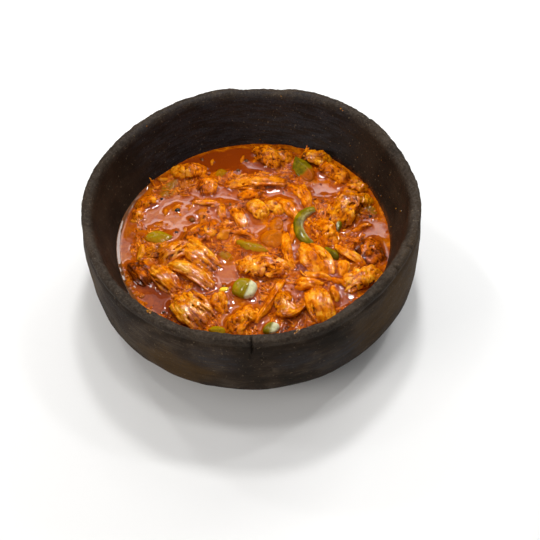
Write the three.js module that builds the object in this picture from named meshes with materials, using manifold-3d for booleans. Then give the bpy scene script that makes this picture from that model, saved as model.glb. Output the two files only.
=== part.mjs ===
// A round, hand-formed clay pot filled with a stew of shredded meat, green pepper and onion in red broth.
// Millimetres, +Z up. The pot stands on Z = 0 with its axis on X = Y = 0, and -Y is its front.
import * as THREE from "three";
import Module from "manifold-3d";
import { mergeVertices } from "three/addons/utils/BufferGeometryUtils.js";

const wasm = await Module();
wasm.setup();

// ---------------------------------------------------------------- driving dimensions

const POT_HEIGHT = 84;
const FOOT_RADIUS = 60;
const BODY_RADIUS = 121.3; // the widest place, above the turn of the wall
const BODY_TURN_HEIGHT = 36.5; // where the outer wall becomes upright
const BODY_ROUNDNESS = 2.4; // 2 is an ellipse, more is squarer
const BODY_STEPS = 6;
const CREASE_RADIUS = 118.2; // the groove under the lip
const CREASE_BELOW_RIM = 7.2;
const LIP_RADIUS = 120.2;
const LIP_INNER_RADIUS = 111.8;
const FLOOR_HEIGHT = 11;
const POT_SEGMENTS = 48;

const BROTH_LEVEL = 41;
const BROTH_RADIUS = 100.5; // the inner wall's radius at the broth's level
const BROTH_FLOOR_RADIUS = 72;

const GAP = 0.3; // clearance between neighbouring pieces
const CLEAR = GAP * 1.3; // how far a piece is grown to cut its neighbours, so that slanted faces keep the gap
const SINK = 4; // how far a piece reaches below the broth's surface
const BUNDLE_STEPS = 4; // stretches along a bundle of shreds
const SHRED_SIDES = 5;
const LOBE_SIDES = 10;
const SUNK_SIDES = 8;

// The shapes of the food, as shares of a piece's own width, rise or length.
const BUNDLE = {
  fray: 0.09, // how far the longest shred stands out past the end, of half the length
  ragged: 0.24, // how much the shreds' ends differ, of half the length
  uneven: 0.3, // how much the crests' heights differ, of the rise
  valley: 0.36, // the depth between two shreds, of one shred's width
  deepest: 0.4, // and its limit, of the rise
  endDrop: 0.72, // how much lower the ends are than the middle
  endSlim: 0.34, // how much narrower the ends are
  sideDrop: 0.8, // how far the section falls away to its sides
  underside: 0.9, // the width of the flat below, of the whole
  leastTop: 0.4, // millimetres above the broth
  flatterEnds: 0.4, // how much of the crests and valleys is gone at the ends
  endMiddle: 0.4, // how deep the middle of an end face lies, of the sunk depth
};
const SHRED = {
  taper: 0.45, // how much thinner the ends are
  sunk: 0.45, // how deep the middle line lies, of the width
  endDrop: 0.8, // how much the arch falls to the ends
  flat: 0.9, // thickness by width
};
const LOBE = {
  slim: 0.55, // how much a point slims the ends
  dome: [[1, 0.12], [0.86, 0.55], [0.5, 0.88], [0, 1]], // distance from the middle and height
};
const SEED_SUNK = 0.08; // how far a peppercorn's middle lies under the broth's level, of its size
const SPLINTER_TIP = 0.35; // a splinter's tip, of its thickness

// The wall is a little out of round: each wave has a number of lobes, a size and a direction.
const WAVES = [
  { lobes: 2, size: 0.5, phase: 60 },
  { lobes: 3, size: 0.45, phase: 50 },
  { lobes: 6, size: 0.8, phase: 48 },
];
// At the front the rim leans outwards.
const FRONT_LEAN = { from: -122, to: -62, out: 2 };
// A worn stretch of the lip at the back, lower and thinner than the rest.
const WORN = { from: 74, to: 93, drop: 2.4, inset: 1.2 };

// ---------------------------------------------------------------- where the pieces lie

// x and y are a piece's middle, rise its height above the broth, heading its direction counter-clockwise
// from +X in degrees, turn how far it bends from end to end, and shreds how many show side by side. Rows
// with one name are fused.
const MEAT = [
  { name: "meat_left_crown", x: -58, y: -10, length: 27, width: 14, rise: 8.5, heading: 42, shreds: 3 },
  { name: "meat_left_inner", x: -40, y: -13, length: 38, width: 18, rise: 7, heading: -52, turn: 14, shreds: 5 },
  { name: "meat_left_middle", x: -47, y: -30, length: 40, width: 13, rise: 7.5, heading: -38, turn: -12,
    shreds: 4 },
  { name: "meat_left_outer", x: -66, y: -33, length: 30, width: 16, rise: 7, heading: -52, turn: 10, shreds: 5 },
  { name: "meat_left_frayed", x: -83, y: -26, length: 24, width: 15, rise: 6, heading: -62, turn: 30, shreds: 4 },
  { name: "meat_left_edge", x: -70, y: -6, length: 20, width: 11, rise: 4.5, heading: 15, shreds: 3 },
  { name: "meat_front_left_lump", x: -46, y: -61, length: 32, width: 27, rise: 10, heading: -55, turn: 20,
    shreds: 6 },
  { name: "meat_dark_left", x: -38, y: 8, length: 30, width: 15, rise: 4, heading: 25, shreds: 4 },
  { name: "meat_corner_back_left", x: -33, y: 38, length: 23, width: 6, rise: 3.5, heading: -14, shreds: 2 },
  { name: "meat_corner_back_left", x: -22, y: 30, length: 14, width: 6, rise: 3, heading: -82, shreds: 2 },
  { name: "meat_slab_center", x: -10, y: 22, length: 21, width: 9, rise: 3.5, heading: -69, shreds: 2 },
  { name: "meat_yellow_back_left", x: -47, y: 73, length: 29, width: 13, rise: 6, heading: -5, shreds: 3 },
  { name: "meat_orange_back_left", x: -32, y: 56, length: 19, width: 14, rise: 4, heading: 80, shreds: 3 },
  { name: "meat_long_back", x: 6, y: 55, length: 46, width: 13, rise: 6.5, heading: -3, turn: 8, shreds: 4 },
  { name: "meat_under_long_back", x: 1, y: 44, length: 22, width: 9, rise: 4, heading: 5, shreds: 3 },
  { name: "meat_back_wall", x: 16, y: 83, length: 29, width: 16, rise: 7, heading: -55, shreds: 4 },
  { name: "meat_back_wall", x: 28, y: 84, length: 18, width: 10, rise: 4.5, heading: -50, shreds: 2 },
  { name: "meat_back_right_peak", x: 54, y: 77, length: 25, width: 13, rise: 9, heading: -32, shreds: 4 },
  { name: "meat_back_right_slope", x: 67, y: 60, length: 28, width: 13, rise: 8, heading: -50, shreds: 4 },
  { name: "meat_right_wall", x: 83, y: 44, length: 18, width: 10, rise: 6, heading: -42, shreds: 3 },
  { name: "meat_yellow_center", x: 5, y: 28, length: 21, width: 12, rise: 6.5, heading: -60, shreds: 3 },
  { name: "meat_yellow_center", x: 17, y: 29, length: 20, width: 10, rise: 3.5, heading: -30, shreds: 2 },
  { name: "meat_strip_center", x: 28, y: 26, length: 31, width: 8, rise: 6, heading: -60, turn: -14, shreds: 2 },
  { name: "meat_strips_back_right", x: 42, y: 38, length: 27, width: 7, rise: 5, heading: -82, shreds: 2 },
  { name: "meat_strips_back_right", x: 36, y: 43, length: 20, width: 5, rise: 4, heading: -62, shreds: 2 },
  { name: "meat_right_mass", x: 72, y: 22, length: 38, width: 21, rise: 10, heading: 58, turn: 10, shreds: 5 },
  { name: "meat_inside_ring", x: 54, y: 0, length: 27, width: 15, rise: 7, heading: -68, shreds: 4 },
  { name: "meat_right_wall_tan", x: 86, y: 30, length: 15, width: 10, rise: 6, heading: -65, shreds: 3 },
  { name: "meat_thick_shred", x: 69, y: -23, length: 28, width: 7, rise: 7, heading: -43, turn: 10, shreds: 1 },
  { name: "meat_smooth_right", x: 44, y: -24, length: 35, width: 19, rise: 7.5, heading: -62, shreds: 3 },
  { name: "meat_dark_round", x: 84, y: -18, length: 27, width: 20, rise: 6, heading: -70, shreds: 5 },
  { name: "meat_ridged_small", x: 64, y: -34, length: 14, width: 9, rise: 5, heading: 82, shreds: 3 },
  { name: "meat_right_front", x: 76, y: -46, length: 29, width: 18, rise: 8, heading: 22, shreds: 5 },
  { name: "meat_shred_right", x: 81, y: 3, length: 16, width: 4.5, rise: 3, heading: 25, shreds: 1 },
  { name: "meat_center_front", x: 6, y: -29, length: 36, width: 20, rise: 8, heading: -10, shreds: 5 },
  { name: "meat_shreds_center", x: 25, y: -13, length: 34, width: 7, rise: 5, heading: -86, turn: 14, shreds: 2 },
  { name: "meat_long_front_shred", x: 9, y: -60, length: 42, width: 6, rise: 5.5, heading: 60, turn: 12,
    shreds: 1 },
  { name: "meat_lump_front", x: 37, y: -47, length: 20, width: 13, rise: 6, heading: -8, shreds: 3 },
  { name: "meat_pale_shred", x: 45, y: -40, length: 21, width: 5.5, rise: 4, heading: -20, shreds: 1 },
  { name: "meat_short_shred_right", x: 59, y: -47, length: 13, width: 5, rise: 4, heading: -35, shreds: 1 },
  { name: "meat_short_shred_front", x: 55, y: -57, length: 14, width: 5, rise: 6, heading: -80, shreds: 1 },
  { name: "meat_ridged_front", x: 43, y: -67, length: 30, width: 19, rise: 9, heading: -78, shreds: 4 },
  { name: "meat_loop_front", x: 19, y: -64, length: 24, width: 14, rise: 5.5, heading: -82, shreds: 3 },
  { name: "meat_loop_front", x: 24, y: -70, length: 30, width: 5, rise: 7, heading: 22, turn: 130, shreds: 1 },
  { name: "meat_front_wall", x: -12, y: -75, length: 27, width: 15, rise: 6, heading: 45, shreds: 4 },
  { name: "meat_bits_front_left", x: -26, y: -58, length: 19, width: 10, rise: 4.5, heading: -75, shreds: 2 },
  { name: "meat_left_wall_back", x: -79, y: 44, length: 19, width: 9, rise: 4, heading: 38, shreds: 3 },
  { name: "meat_left_wall_back", x: -85, y: 34, length: 17, width: 8, rise: 3.5, heading: 78, shreds: 2 },
  { name: "meat_thin_center", x: -9, y: 5, length: 20, width: 4, rise: 3, heading: -18, turn: -30, shreds: 1 },
  { name: "meat_shred_by_ring", x: 30, y: 2, length: 22, width: 5.5, rise: 4, heading: 78, turn: -16, shreds: 1 },
];

// Slices and dice of green pepper, and softened onion: point tells how sharp the ends are, from 0 to 1.
const PEPPER = [
  { name: "pepper_left", x: -69, y: 9, length: 23, width: 12, rise: 3, heading: -4, point: 0.5 },
  { name: "pepper_center", x: -1, y: -8, length: 27, width: 10, rise: 4, heading: -27, point: 0.5 },
  { name: "pepper_dome", x: -8.5, y: -48, length: 18, width: 17, rise: 8, heading: 0, point: 0 },
  { name: "pepper_back", x: 43, y: 67, length: 28, width: 16, rise: 7, heading: -66, point: 0.6 },
  { name: "pepper_dark", x: 56, y: -20, length: 15, width: 8, rise: 4.5, heading: -50, point: 0.4 },
  { name: "pepper_front_wall", x: 8, y: -84, length: 12, width: 9, rise: 5, heading: 20, point: 0.2 },
  { name: "pepper_front_left", x: -29, y: -82, length: 13, width: 8, rise: 4, heading: -12, point: 0.3 },
  { name: "pepper_gray_right", x: 65, y: 8, length: 16, width: 5, rise: 6, heading: 76, point: 0.3 },
];
const ONION = [
  { name: "onion_center", x: 14, y: -2, length: 17, width: 17, rise: 5, heading: 0, point: 0 },
  { name: "onion_center", x: 18, y: 11, length: 15, width: 10, rise: 4, heading: 60, point: 0.2 },
  { name: "onion_triangle", x: -22, y: 6, length: 13, width: 11, rise: 4, heading: 40, point: 0.4 },
  { name: "onion_left_strip", x: -83, y: -7, length: 14, width: 6, rise: 4.5, heading: 75, point: 0.3 },
];
// Pieces that the broth covers almost to the top: they swell its surface.
const SUNK = [
  { x: -62, y: 57, length: 22, width: 13, rise: 1.4, heading: 55 },
  { x: -21, y: 70, length: 11, width: 8, rise: 2.4, heading: 20 },
  { x: -21, y: -14, length: 13, width: 8, rise: 2, heading: -40 },
  { x: 46, y: 54, length: 13, width: 9, rise: 2, heading: 0 },
  { x: -49, y: 60, length: 14, width: 12, rise: 2.2, heading: 20 },
  { x: -87, y: 13, length: 15, width: 11, rise: 1.2, heading: 0 },
  { x: -36, y: 28, length: 13, width: 10, rise: 2, heading: -70 },
  { x: 91, y: 19, length: 13, width: 8, rise: 2, heading: -60 },
  { x: 64, y: -71, length: 11, width: 6, rise: 3, heading: 35 },
];
// The ring of pepper is a shred-like strip bent through a large angle.
const RING = { name: "pepper_ring", x: 40, y: 8, length: 44, width: 6, rise: 5.5, heading: 262, turn: 135,
  shreds: 1 };
// Two thin splinters stand in the broth's edge by the wall: out is how far their tips lean over.
const SPLINTERS = [
  { name: "meat_splinter_left", x: -74.5, y: 61, length: 9.5, width: 3.2, out: [-0.8, 0.6] },
  { name: "meat_splinter_back", x: 45.5, y: 85, length: 8.5, width: 3, out: [3.4, 1.2] },
];
// Peppercorns and seeds floating in the broth.
const SEEDS = [
  { x: -56, y: 34, size: 4.6 }, { x: -45, y: 23, size: 5.2 }, { x: -68, y: 47, size: 3 },
  { x: -57, y: 12, size: 3 }, { x: -16, y: 36, size: 4 }, { x: -8, y: 72, size: 3.6 },
  { x: -36, y: 87, size: 3.2 }, { x: -1, y: 82, size: 4 }, { x: 89, y: 14, size: 3.6 },
  { x: -43, y: -47, size: 3 }, { x: -66, y: -62, size: 3 }, { x: -23, y: -43, size: 4 },
];

// ---------------------------------------------------------------- helpers

const radians = THREE.MathUtils.degToRad;

/** A number from 0 to 1 that looks random and is always the same for one seed. */
function draw(seed) {
  const long = Math.sin(seed * 12.9898) * 43758.5453;
  return long - Math.floor(long);
}

/** Turns a closed three.js geometry into a solid, without the triangles that shrank to nothing. */
function solidOf(geometry) {
  geometry.deleteAttribute("normal");
  geometry.deleteAttribute("uv");
  const merged = mergeVertices(geometry, 1e-3);
  const corners = [];
  for (let first = 0; first < merged.index.count; first += 3) {
    const triangle = [0, 1, 2].map((step) => merged.index.getX(first + step));
    if (new Set(triangle).size === 3) corners.push(...triangle);
  }
  const vertProperties = new Float32Array(merged.attributes.position.array);
  const triVerts = new Uint32Array(corners);
  return new wasm.Manifold(new wasm.Mesh({ numProp: 3, vertProperties, triVerts }));
}

/** The geometry of a solid's largest body. */
function geometryOf(solid) {
  const bodies = solid.decompose();
  const largest = bodies.reduce((best, body) => (body.volume() > best.volume() ? body : best));
  const mesh = largest.getMesh();
  const geometry = new THREE.BufferGeometry();
  geometry.setAttribute("position", new THREE.BufferAttribute(mesh.vertProperties, 3));
  geometry.setIndex(new THREE.BufferAttribute(mesh.triVerts, 1));
  geometry.computeVertexNormals();
  return geometry;
}

/** Moves every vertex of a geometry to where `move(point)` puts it. */
function reshape(geometry, move) {
  const position = geometry.attributes.position;
  const point = new THREE.Vector3();
  for (let index = 0; index < position.count; index += 1) {
    point.fromBufferAttribute(position, index);
    move(point);
    position.setXYZ(index, point.x, point.y, point.z);
  }
  return geometry;
}

// ---------------------------------------------------------------- the pot

/** From 0 to 1: how far a direction lies within a stretch of the rim, with soft ends. */
function within(stretch, angle) {
  const middle = radians((stretch.from + stretch.to) / 2);
  const half = radians((stretch.to - stretch.from) / 2);
  const away = Math.abs(Math.atan2(Math.sin(angle - middle), Math.cos(angle - middle)));
  return 1 - THREE.MathUtils.smoothstep(away, half * 0.6, half * 1.3);
}

/** How far the wall stands out from a true circle in one direction, at the rim. */
function waveAt(angle) {
  const sum = (total, wave) => total + wave.size * Math.cos(wave.lobes * (angle - radians(wave.phase)));
  return WAVES.reduce(sum, FRONT_LEAN.out * within(FRONT_LEAN, angle));
}

/** Gives a turned shape the uneven roundness of the hand-formed wall. */
function shapeByHand(point) {
  const radius = Math.hypot(point.x, point.y);
  if (radius < 1e-6) return;
  const angle = Math.atan2(point.y, point.x);
  const rimward = THREE.MathUtils.smoothstep(point.z, 8, 66);
  const atLip = THREE.MathUtils.smoothstep(point.z, POT_HEIGHT - CREASE_BELOW_RIM, POT_HEIGHT - 2);
  const worn = within(WORN, angle) * atLip;
  const outside = radius > (LIP_RADIUS + LIP_INNER_RADIUS) / 2 ? 1 : 0;
  const scale = (radius + waveAt(angle) * rimward - worn * outside * WORN.inset) / radius;
  point.set(point.x * scale, point.y * scale, point.z - worn * WORN.drop);
}

/** The outer wall from the foot to where it becomes upright, as [radius, height] pairs. */
function outerWall() {
  const points = [];
  for (let step = 0; step <= BODY_STEPS; step += 1) {
    const turn = (step / BODY_STEPS) * (Math.PI / 2);
    const out = Math.sin(turn) ** (2 / BODY_ROUNDNESS);
    const up = 1 - Math.cos(turn) ** (2 / BODY_ROUNDNESS);
    points.push([FOOT_RADIUS + (BODY_RADIUS - FOOT_RADIUS) * out, BODY_TURN_HEIGHT * up]);
  }
  return points;
}

/** The inner wall from just under the lip down to the floor, as [radius, height] pairs. */
function innerWall() {
  const drop = BROTH_LEVEL - FLOOR_HEIGHT;
  return [
    [LIP_INNER_RADIUS - 2.5, POT_HEIGHT - 16],
    [(LIP_INNER_RADIUS + BROTH_RADIUS) / 2 - 1, POT_HEIGHT - 29],
    [BROTH_RADIUS, BROTH_LEVEL],
    [BROTH_RADIUS - 4.5, FLOOR_HEIGHT + drop * 0.63],
    [BROTH_RADIUS - 12.5, FLOOR_HEIGHT + drop * 0.3],
    [BROTH_FLOOR_RADIUS, FLOOR_HEIGHT + 2],
    [BROTH_FLOOR_RADIUS * 0.6, FLOOR_HEIGHT],
  ];
}

/** A solid turned about the Z axis and then shaped by hand. The profile starts and ends on the axis. */
function turned(profile) {
  const points = profile.map(([radius, height]) => new THREE.Vector2(radius, height));
  const geometry = new THREE.LatheGeometry(points, POT_SEGMENTS).rotateX(Math.PI / 2);
  return solidOf(reshape(geometry, shapeByHand));
}

function potSolid() {
  const crease = POT_HEIGHT - CREASE_BELOW_RIM;
  const lip = [
    [BODY_RADIUS + 0.3, POT_HEIGHT - 26],
    [LIP_RADIUS + 0.2, crease - 2.4],
    [CREASE_RADIUS, crease],
    [LIP_RADIUS - 0.5, crease + 1.4],
    [LIP_RADIUS, POT_HEIGHT - 2.6],
    [LIP_RADIUS - 1.6, POT_HEIGHT - 0.6],
    [LIP_RADIUS - 4, POT_HEIGHT],
    [LIP_INNER_RADIUS + 1.9, POT_HEIGHT - 1.7],
    [LIP_INNER_RADIUS, POT_HEIGHT - 5.5],
  ];
  return turned([[0, 0], ...outerWall(), ...lip, ...innerWall(), [0, FLOOR_HEIGHT]]);
}

/** The broth before it is cut: it fills the pot up to its level, the gap away from the wall. */
function brothSolid() {
  const wall = innerWall().filter(([, height]) => height <= BROTH_LEVEL);
  const clear = wall.map(([radius, height]) => [radius - GAP * 1.2, Math.min(height + GAP, BROTH_LEVEL)]);
  return turned([[0, FLOOR_HEIGHT + GAP], ...clear.reverse(), [0, BROTH_LEVEL]]);
}

/** Everything that food may fill: inside the wall by twice the gap. */
function roomSolid() {
  const inside = innerWall().map(([radius, height]) => [radius - GAP * 2, height + GAP]);
  return turned([[0, FLOOR_HEIGHT + GAP], ...inside.reverse(), [0, POT_HEIGHT - 16 + GAP]]);
}

// ---------------------------------------------------------------- the food

/** Puts a point given along, across and above a piece where that piece lies in the pot. */
function layDown(point, piece, along, across, up) {
  const bend = radians(piece.turn ?? 0) / piece.length;
  const straight = Math.abs(bend) < 1e-6;
  const sagitta = straight ? 0 : (1 - Math.cos((bend * piece.length) / 2)) / bend;
  const angle = bend * along;
  const x = (straight ? along : Math.sin(angle) / bend) - across * Math.sin(angle);
  const y = (straight ? 0 : (1 - Math.cos(angle)) / bend) + across * Math.cos(angle) - sagitta / 2;
  const heading = radians(piece.heading);
  point.x = piece.x + x * Math.cos(heading) - y * Math.sin(heading);
  point.y = piece.y + x * Math.sin(heading) + y * Math.cos(heading);
  point.z = BROTH_LEVEL + up;
}

/**
 * A bundle of shreds side by side: flat below, with a crest for every shred above and ragged ends.
 * Round its section, the first corners go over the top, crests and valleys in turn, and two lie below.
 * The grown bundle has blunt ends past the longest shred.
 */
function bundle(piece, grow) {
  const { shreds, rise, length } = piece;
  const topCorners = 2 * shreds + 1;
  const sides = topCorners + 2;
  const grain = piece.x * 3.1 + piece.y * 7.7;
  const valley = Math.min((BUNDLE.valley * piece.width) / shreds, rise * BUNDLE.deepest);
  const geometry = new THREE.CylinderGeometry(1, 1, 2, sides, BUNDLE_STEPS);
  const move = (point) => {
    const end = Math.round(point.y * 1e4) / 1e4;
    const turn = Math.atan2(point.x, point.z) / (2 * Math.PI);
    const corner = (Math.round(turn * sides) + sides) % sides;
    const faceMiddle = Math.hypot(point.x, point.z) < 0.5;
    const below = corner >= topCorners;
    const crest = corner % 2 === 1 && !below && !faceMiddle;
    const shredIndex = Math.floor(corner / 2);
    const shorter = draw(grain + shredIndex * 2 + end) * BUNDLE.ragged;
    const frayed = crest ? BUNDLE.fray - shorter : -BUNDLE.fray;
    const fray = Math.abs(end) === 1 && grow === 0 ? frayed : BUNDLE.fray * Math.abs(end);
    const along = end * ((length / 2) * (1 + fray) + grow);
    if (faceMiddle) return layDown(point, piece, along, 0, -SINK * BUNDLE.endMiddle);
    const underside = corner === topCorners ? -BUNDLE.underside : BUNDLE.underside;
    const side = below ? underside : 1 - corner / shreds;
    const outward = Math.abs(side) < BUNDLE.underside ? 0 : Math.sign(side) * grow;
    const dome = rise * endwise(end) * Math.sqrt(1 - BUNDLE.sideDrop * side * side);
    const uneven = crest ? (draw(grain + shredIndex) - 0.5) * BUNDLE.uneven * rise : -valley;
    const top = Math.max(dome + uneven * (1 - BUNDLE.flatterEnds * Math.abs(end)), BUNDLE.leastTop);
    const up = below ? -SINK - grow : top + grow;
    return layDown(point, piece, along, side * halfWidth(piece, end) + outward, up);
  };
  return solidOf(reshape(geometry, move));
}

/** How high a bundle stands at one place along it, from 1 in its middle to a quarter at its ends. */
function endwise(end) {
  return 1 - BUNDLE.endDrop * Math.abs(end) ** 2.2;
}

/** Half of a bundle's width at one place along it. */
function halfWidth(piece, end) {
  return (piece.width / 2) * (1 - BUNDLE.endSlim * Math.abs(end) ** 2.5);
}

/** The hollow that a bundle or a shred takes in the broth: a bent box round it. */
function bed(piece) {
  const many = piece.shreds > 1;
  const geometry = new THREE.BoxGeometry(2, 2, 2, many ? BUNDLE_STEPS : BUNDLE_STEPS + 1, 1, 1);
  const deep = many ? SINK + CLEAR : piece.width * SHRED.sunk + GAP * 3;
  const longest = many ? 1 + BUNDLE.fray : 1;
  const move = (point) => {
    const along = point.x * ((piece.length / 2) * longest + CLEAR);
    const across = point.y * (halfWidth(piece, point.x) + GAP * 1.5);
    return layDown(point, piece, along, across, point.z > 0 ? piece.rise + 1 : -deep);
  };
  return solidOf(reshape(geometry, move));
}

/** One shred: a tapered tube that lies half sunk in the broth and arches up in the middle. */
function shred(piece, grow) {
  const geometry = new THREE.CylinderGeometry(1, 1, 2, SHRED_SIDES, BUNDLE_STEPS + 1);
  const move = (point) => {
    const end = point.y;
    const thick = (piece.width / 2) * (1 - SHRED.taper * Math.abs(end) ** 3) + grow;
    const arch = (piece.rise - piece.width * SHRED.sunk) * (1 - SHRED.endDrop * end * end);
    const up = arch + point.x * thick * SHRED.flat;
    layDown(point, piece, end * (piece.length / 2 + grow), point.z * thick, up);
  };
  return solidOf(reshape(geometry, move));
}

/** A slice or lobe: a smooth domed top over a flat underside, round or pointed at its ends. */
function lobe(piece, grow, sides = LOBE_SIDES) {
  const section = [[0, -1], [1, -1], ...LOBE.dome];
  const profile = section.map(([radius, height]) => new THREE.Vector2(radius, height));
  const geometry = new THREE.LatheGeometry(profile, sides).rotateX(Math.PI / 2);
  const move = (point) => {
    const slim = 1 - (piece.point ?? 0) * LOBE.slim * Math.abs(point.x) ** 1.6;
    const up = point.z > 0 ? point.z * piece.rise + grow : point.z * (SINK + grow);
    const along = point.x * (piece.length / 2 + grow);
    layDown(point, piece, along, point.y * slim * (piece.width / 2 + grow), up);
  };
  return solidOf(reshape(geometry, move));
}

/** A thin splinter that stands in the broth, its tip leaning over. */
function splinter(piece, grow) {
  const geometry = new THREE.CylinderGeometry(SPLINTER_TIP, 1, 1, SHRED_SIDES, 2).rotateX(Math.PI / 2);
  const thick = piece.width / 2 + grow;
  const move = (point) => {
    const up = point.z * (piece.length + SINK + 2 * grow) + (piece.length - SINK) / 2;
    const lean = Math.max(up, 0) / piece.length;
    point.x = piece.x + point.x * thick + lean * piece.out[0];
    point.y = piece.y + point.y * thick + lean * piece.out[1];
    point.z = BROTH_LEVEL + up;
  };
  return solidOf(reshape(geometry, move));
}

/** A peppercorn that floats, three fifths under the surface. */
function seed({ x, y, size }) {
  const geometry = new THREE.IcosahedronGeometry(size / 2, 0);
  return solidOf(geometry.translate(x, y, BROTH_LEVEL - size * SEED_SUNK));
}

const shapeMeat = (piece, grow) => (piece.shreds > 1 ? bundle(piece, grow) : shred(piece, grow));

/**
 * Joins the rows that share a name. Each piece comes with the same shape grown by the gap, to cut its
 * neighbours, and with the plainer hollow that it takes in the broth.
 */
function gather(rows, slot, shape, hollow = shape) {
  const pieces = new Map();
  for (const row of rows) {
    const held = pieces.get(row.name);
    const plain = shape(row, 0);
    const grown = shape(row, CLEAR);
    const pocket = hollow(row, CLEAR);
    const joined = { plain, grown, pocket, slot };
    if (held) {
      joined.plain = held.plain.add(plain);
      joined.grown = held.grown.add(grown);
      joined.pocket = held.pocket.add(pocket);
    }
    pieces.set(row.name, joined);
  }
  return [...pieces.entries()];
}

// ---------------------------------------------------------------- the materials

const FINISH = {
  clay: { color: 0x33281f, roughness: 0.85 },
  broth: { color: 0xb0480f, roughness: 0.12 },
  meat: { color: 0xcf6a14, roughness: 0.35 },
  pepper: { color: 0x76740a, roughness: 0.3 },
  onion: { color: 0xbc6a08, roughness: 0.3 },
};

const materials = {};
for (const [slot, { color, roughness }] of Object.entries(FINISH)) {
  materials[slot] = new THREE.MeshStandardMaterial({ color, roughness, metalness: 0 });
}

// ---------------------------------------------------------------- the whole

// The pieces that show best come first: a later piece is cut where it would run into an earlier one.
const isLone = (row) => row.shreds === 1 && row.name !== "meat_loop_front";
const food = [
  ...gather(PEPPER, "pepper", lobe),
  ...gather([RING], "pepper", shred, bed),
  ...gather(MEAT.filter(isLone), "meat", shapeMeat, bed),
  ...gather(ONION, "onion", lobe),
  ...gather(MEAT.filter((row) => !isLone(row)), "meat", shapeMeat, bed),
  ...gather(SPLINTERS, "meat", splinter),
];

const stew = new THREE.Group();

function addNode(name, solid, slot) {
  const mesh = new THREE.Mesh(geometryOf(solid), materials[slot]);
  mesh.name = name;
  stew.add(mesh);
}

addNode("pot", potSolid(), "clay");

const room = roomSolid();
let broth = brothSolid();
for (const grain of SEEDS) broth = broth.add(seed(grain));
for (const piece of SUNK) broth = broth.add(lobe(piece, 0, SUNK_SIDES).intersect(room));
let taken;
for (const [name, { plain, grown, pocket, slot }] of food) {
  const inside = plain.intersect(room);
  addNode(name, taken ? inside.subtract(taken) : inside, slot);
  taken = taken ? taken.add(grown) : grown;
  broth = broth.subtract(pocket);
}
addNode("broth", broth, "broth");

export default stew;
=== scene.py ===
"""A hand-formed clay pot of shredded meat stew: its looks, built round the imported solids.

Every class below keeps its sizes in millimetres, in the frame of the solids: +Z up, the pot's axis on
X = Y = 0, its foot on Z = 0 and its front towards -Y. Meshes and lights are written in metres.
"""

import logging
import math
from dataclasses import dataclass, field
from enum import Enum

import bpy
import numpy as np
from mathutils import Matrix, Vector


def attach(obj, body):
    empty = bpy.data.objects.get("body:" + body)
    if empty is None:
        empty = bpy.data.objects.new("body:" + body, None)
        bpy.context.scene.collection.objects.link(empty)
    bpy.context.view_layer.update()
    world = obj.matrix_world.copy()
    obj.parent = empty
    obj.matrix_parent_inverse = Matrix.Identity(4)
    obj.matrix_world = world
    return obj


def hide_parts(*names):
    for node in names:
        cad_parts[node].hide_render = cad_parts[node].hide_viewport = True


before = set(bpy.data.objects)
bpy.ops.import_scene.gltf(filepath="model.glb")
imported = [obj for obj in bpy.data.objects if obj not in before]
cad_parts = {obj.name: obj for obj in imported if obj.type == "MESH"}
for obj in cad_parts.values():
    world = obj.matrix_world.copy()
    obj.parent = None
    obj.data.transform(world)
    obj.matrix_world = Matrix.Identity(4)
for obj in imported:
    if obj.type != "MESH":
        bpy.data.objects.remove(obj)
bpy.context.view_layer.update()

Array = np.ndarray
Colour = tuple[float, float, float]
Triple = tuple[float, float, float]
Random = np.random.Generator
Mesh = bpy.types.Mesh
Material = bpy.types.Material
NodeTree = bpy.types.NodeTree
SceneObject = bpy.types.Object
Socket = bpy.types.NodeSocket
log = logging.getLogger("stew")

MM = 0.001
BODY = "root"
BROTH_LEVEL = 41.0
CRUMBS = 330
FIBRES = 150
CRUMB_REACH = 97.0
SINK = 4.0
VOXEL = 0.45
SLICE_VOXEL = 0.8 * VOXEL
SPLINTER_VOXEL = 0.7 * VOXEL


class Slot(Enum):
    """The record's material slots."""

    CLAY = "clay"
    BROTH = "broth"
    MEAT = "meat"
    PEPPER = "pepper"
    ONION = "onion"


class Texture(Enum):
    """How a piece of meat has come apart."""

    STRANDS = "long clean shreds side by side"
    RAGGED = "short torn fibres and crumbs"
    SMOOTH = "a soft lump with few fibres"


@dataclass(frozen=True)
class Layer:
    """One layer of fibres on a bundle of meat.

    area is the bundle's area for each fibre, stray how far fibres turn from the bundle's direction in
    degrees, slim and long their least and greatest radius and length, lift how far they may stand out,
    as a share of their radius, and flat their thickness by their width. A greatest length of 0 stands
    for 0.8 of the bundle's.
    """

    area: float
    stray: float
    slim: tuple[float, float]
    long: tuple[float, float]
    lift: float
    flat: float = 0.75


@dataclass(frozen=True)
class Surface:
    """What a texture does to a piece of meat.

    uneven is how lumpy its top is, softened how often its skin is relaxed, lumps and torn the depth of
    its lumps and tears, fine the share of the finest fibres, crests how many times more shreds it shows
    than its solid, tips how many more ends stick out than it has shreds, and edge the length of its
    outline for each bit that breaks it up.
    """

    uneven: float
    softened: int
    lumps: float
    torn: float
    fine: float
    crests: float
    tips: int | None
    edge: float
    layers: tuple[Layer, ...]


SURFACES = {
    Texture.STRANDS: Surface(0.12, 2, 0.12, 0.15, 1.0, 1.25, 1, 5.0, (
        Layer(40, 6, (0.9, 1.5), (8, 0), 0.9),
        Layer(34, 13, (0.45, 0.8), (4, 13), 1.0))),
    Texture.RAGGED: Surface(0.34, 2, 0.3, 0.4, 1.0, 1.0, 0, 2.2, (
        Layer(17, 40, (1.3, 2.5), (4, 9), 0.9, 0.5),
        Layer(24, 32, (0.6, 1.1), (4, 10), 1.1),
        Layer(30, 70, (0.5, 0.9), (1.5, 4), 1.2))),
    Texture.SMOOTH: Surface(0.1, 4, 0.2, 0.25, 0.3, 1.0, None, 6.0, (
        Layer(60, 10, (1.2, 2.2), (8, 16), 0.4, 0.6),)),
}


# ---------- numbers


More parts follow.
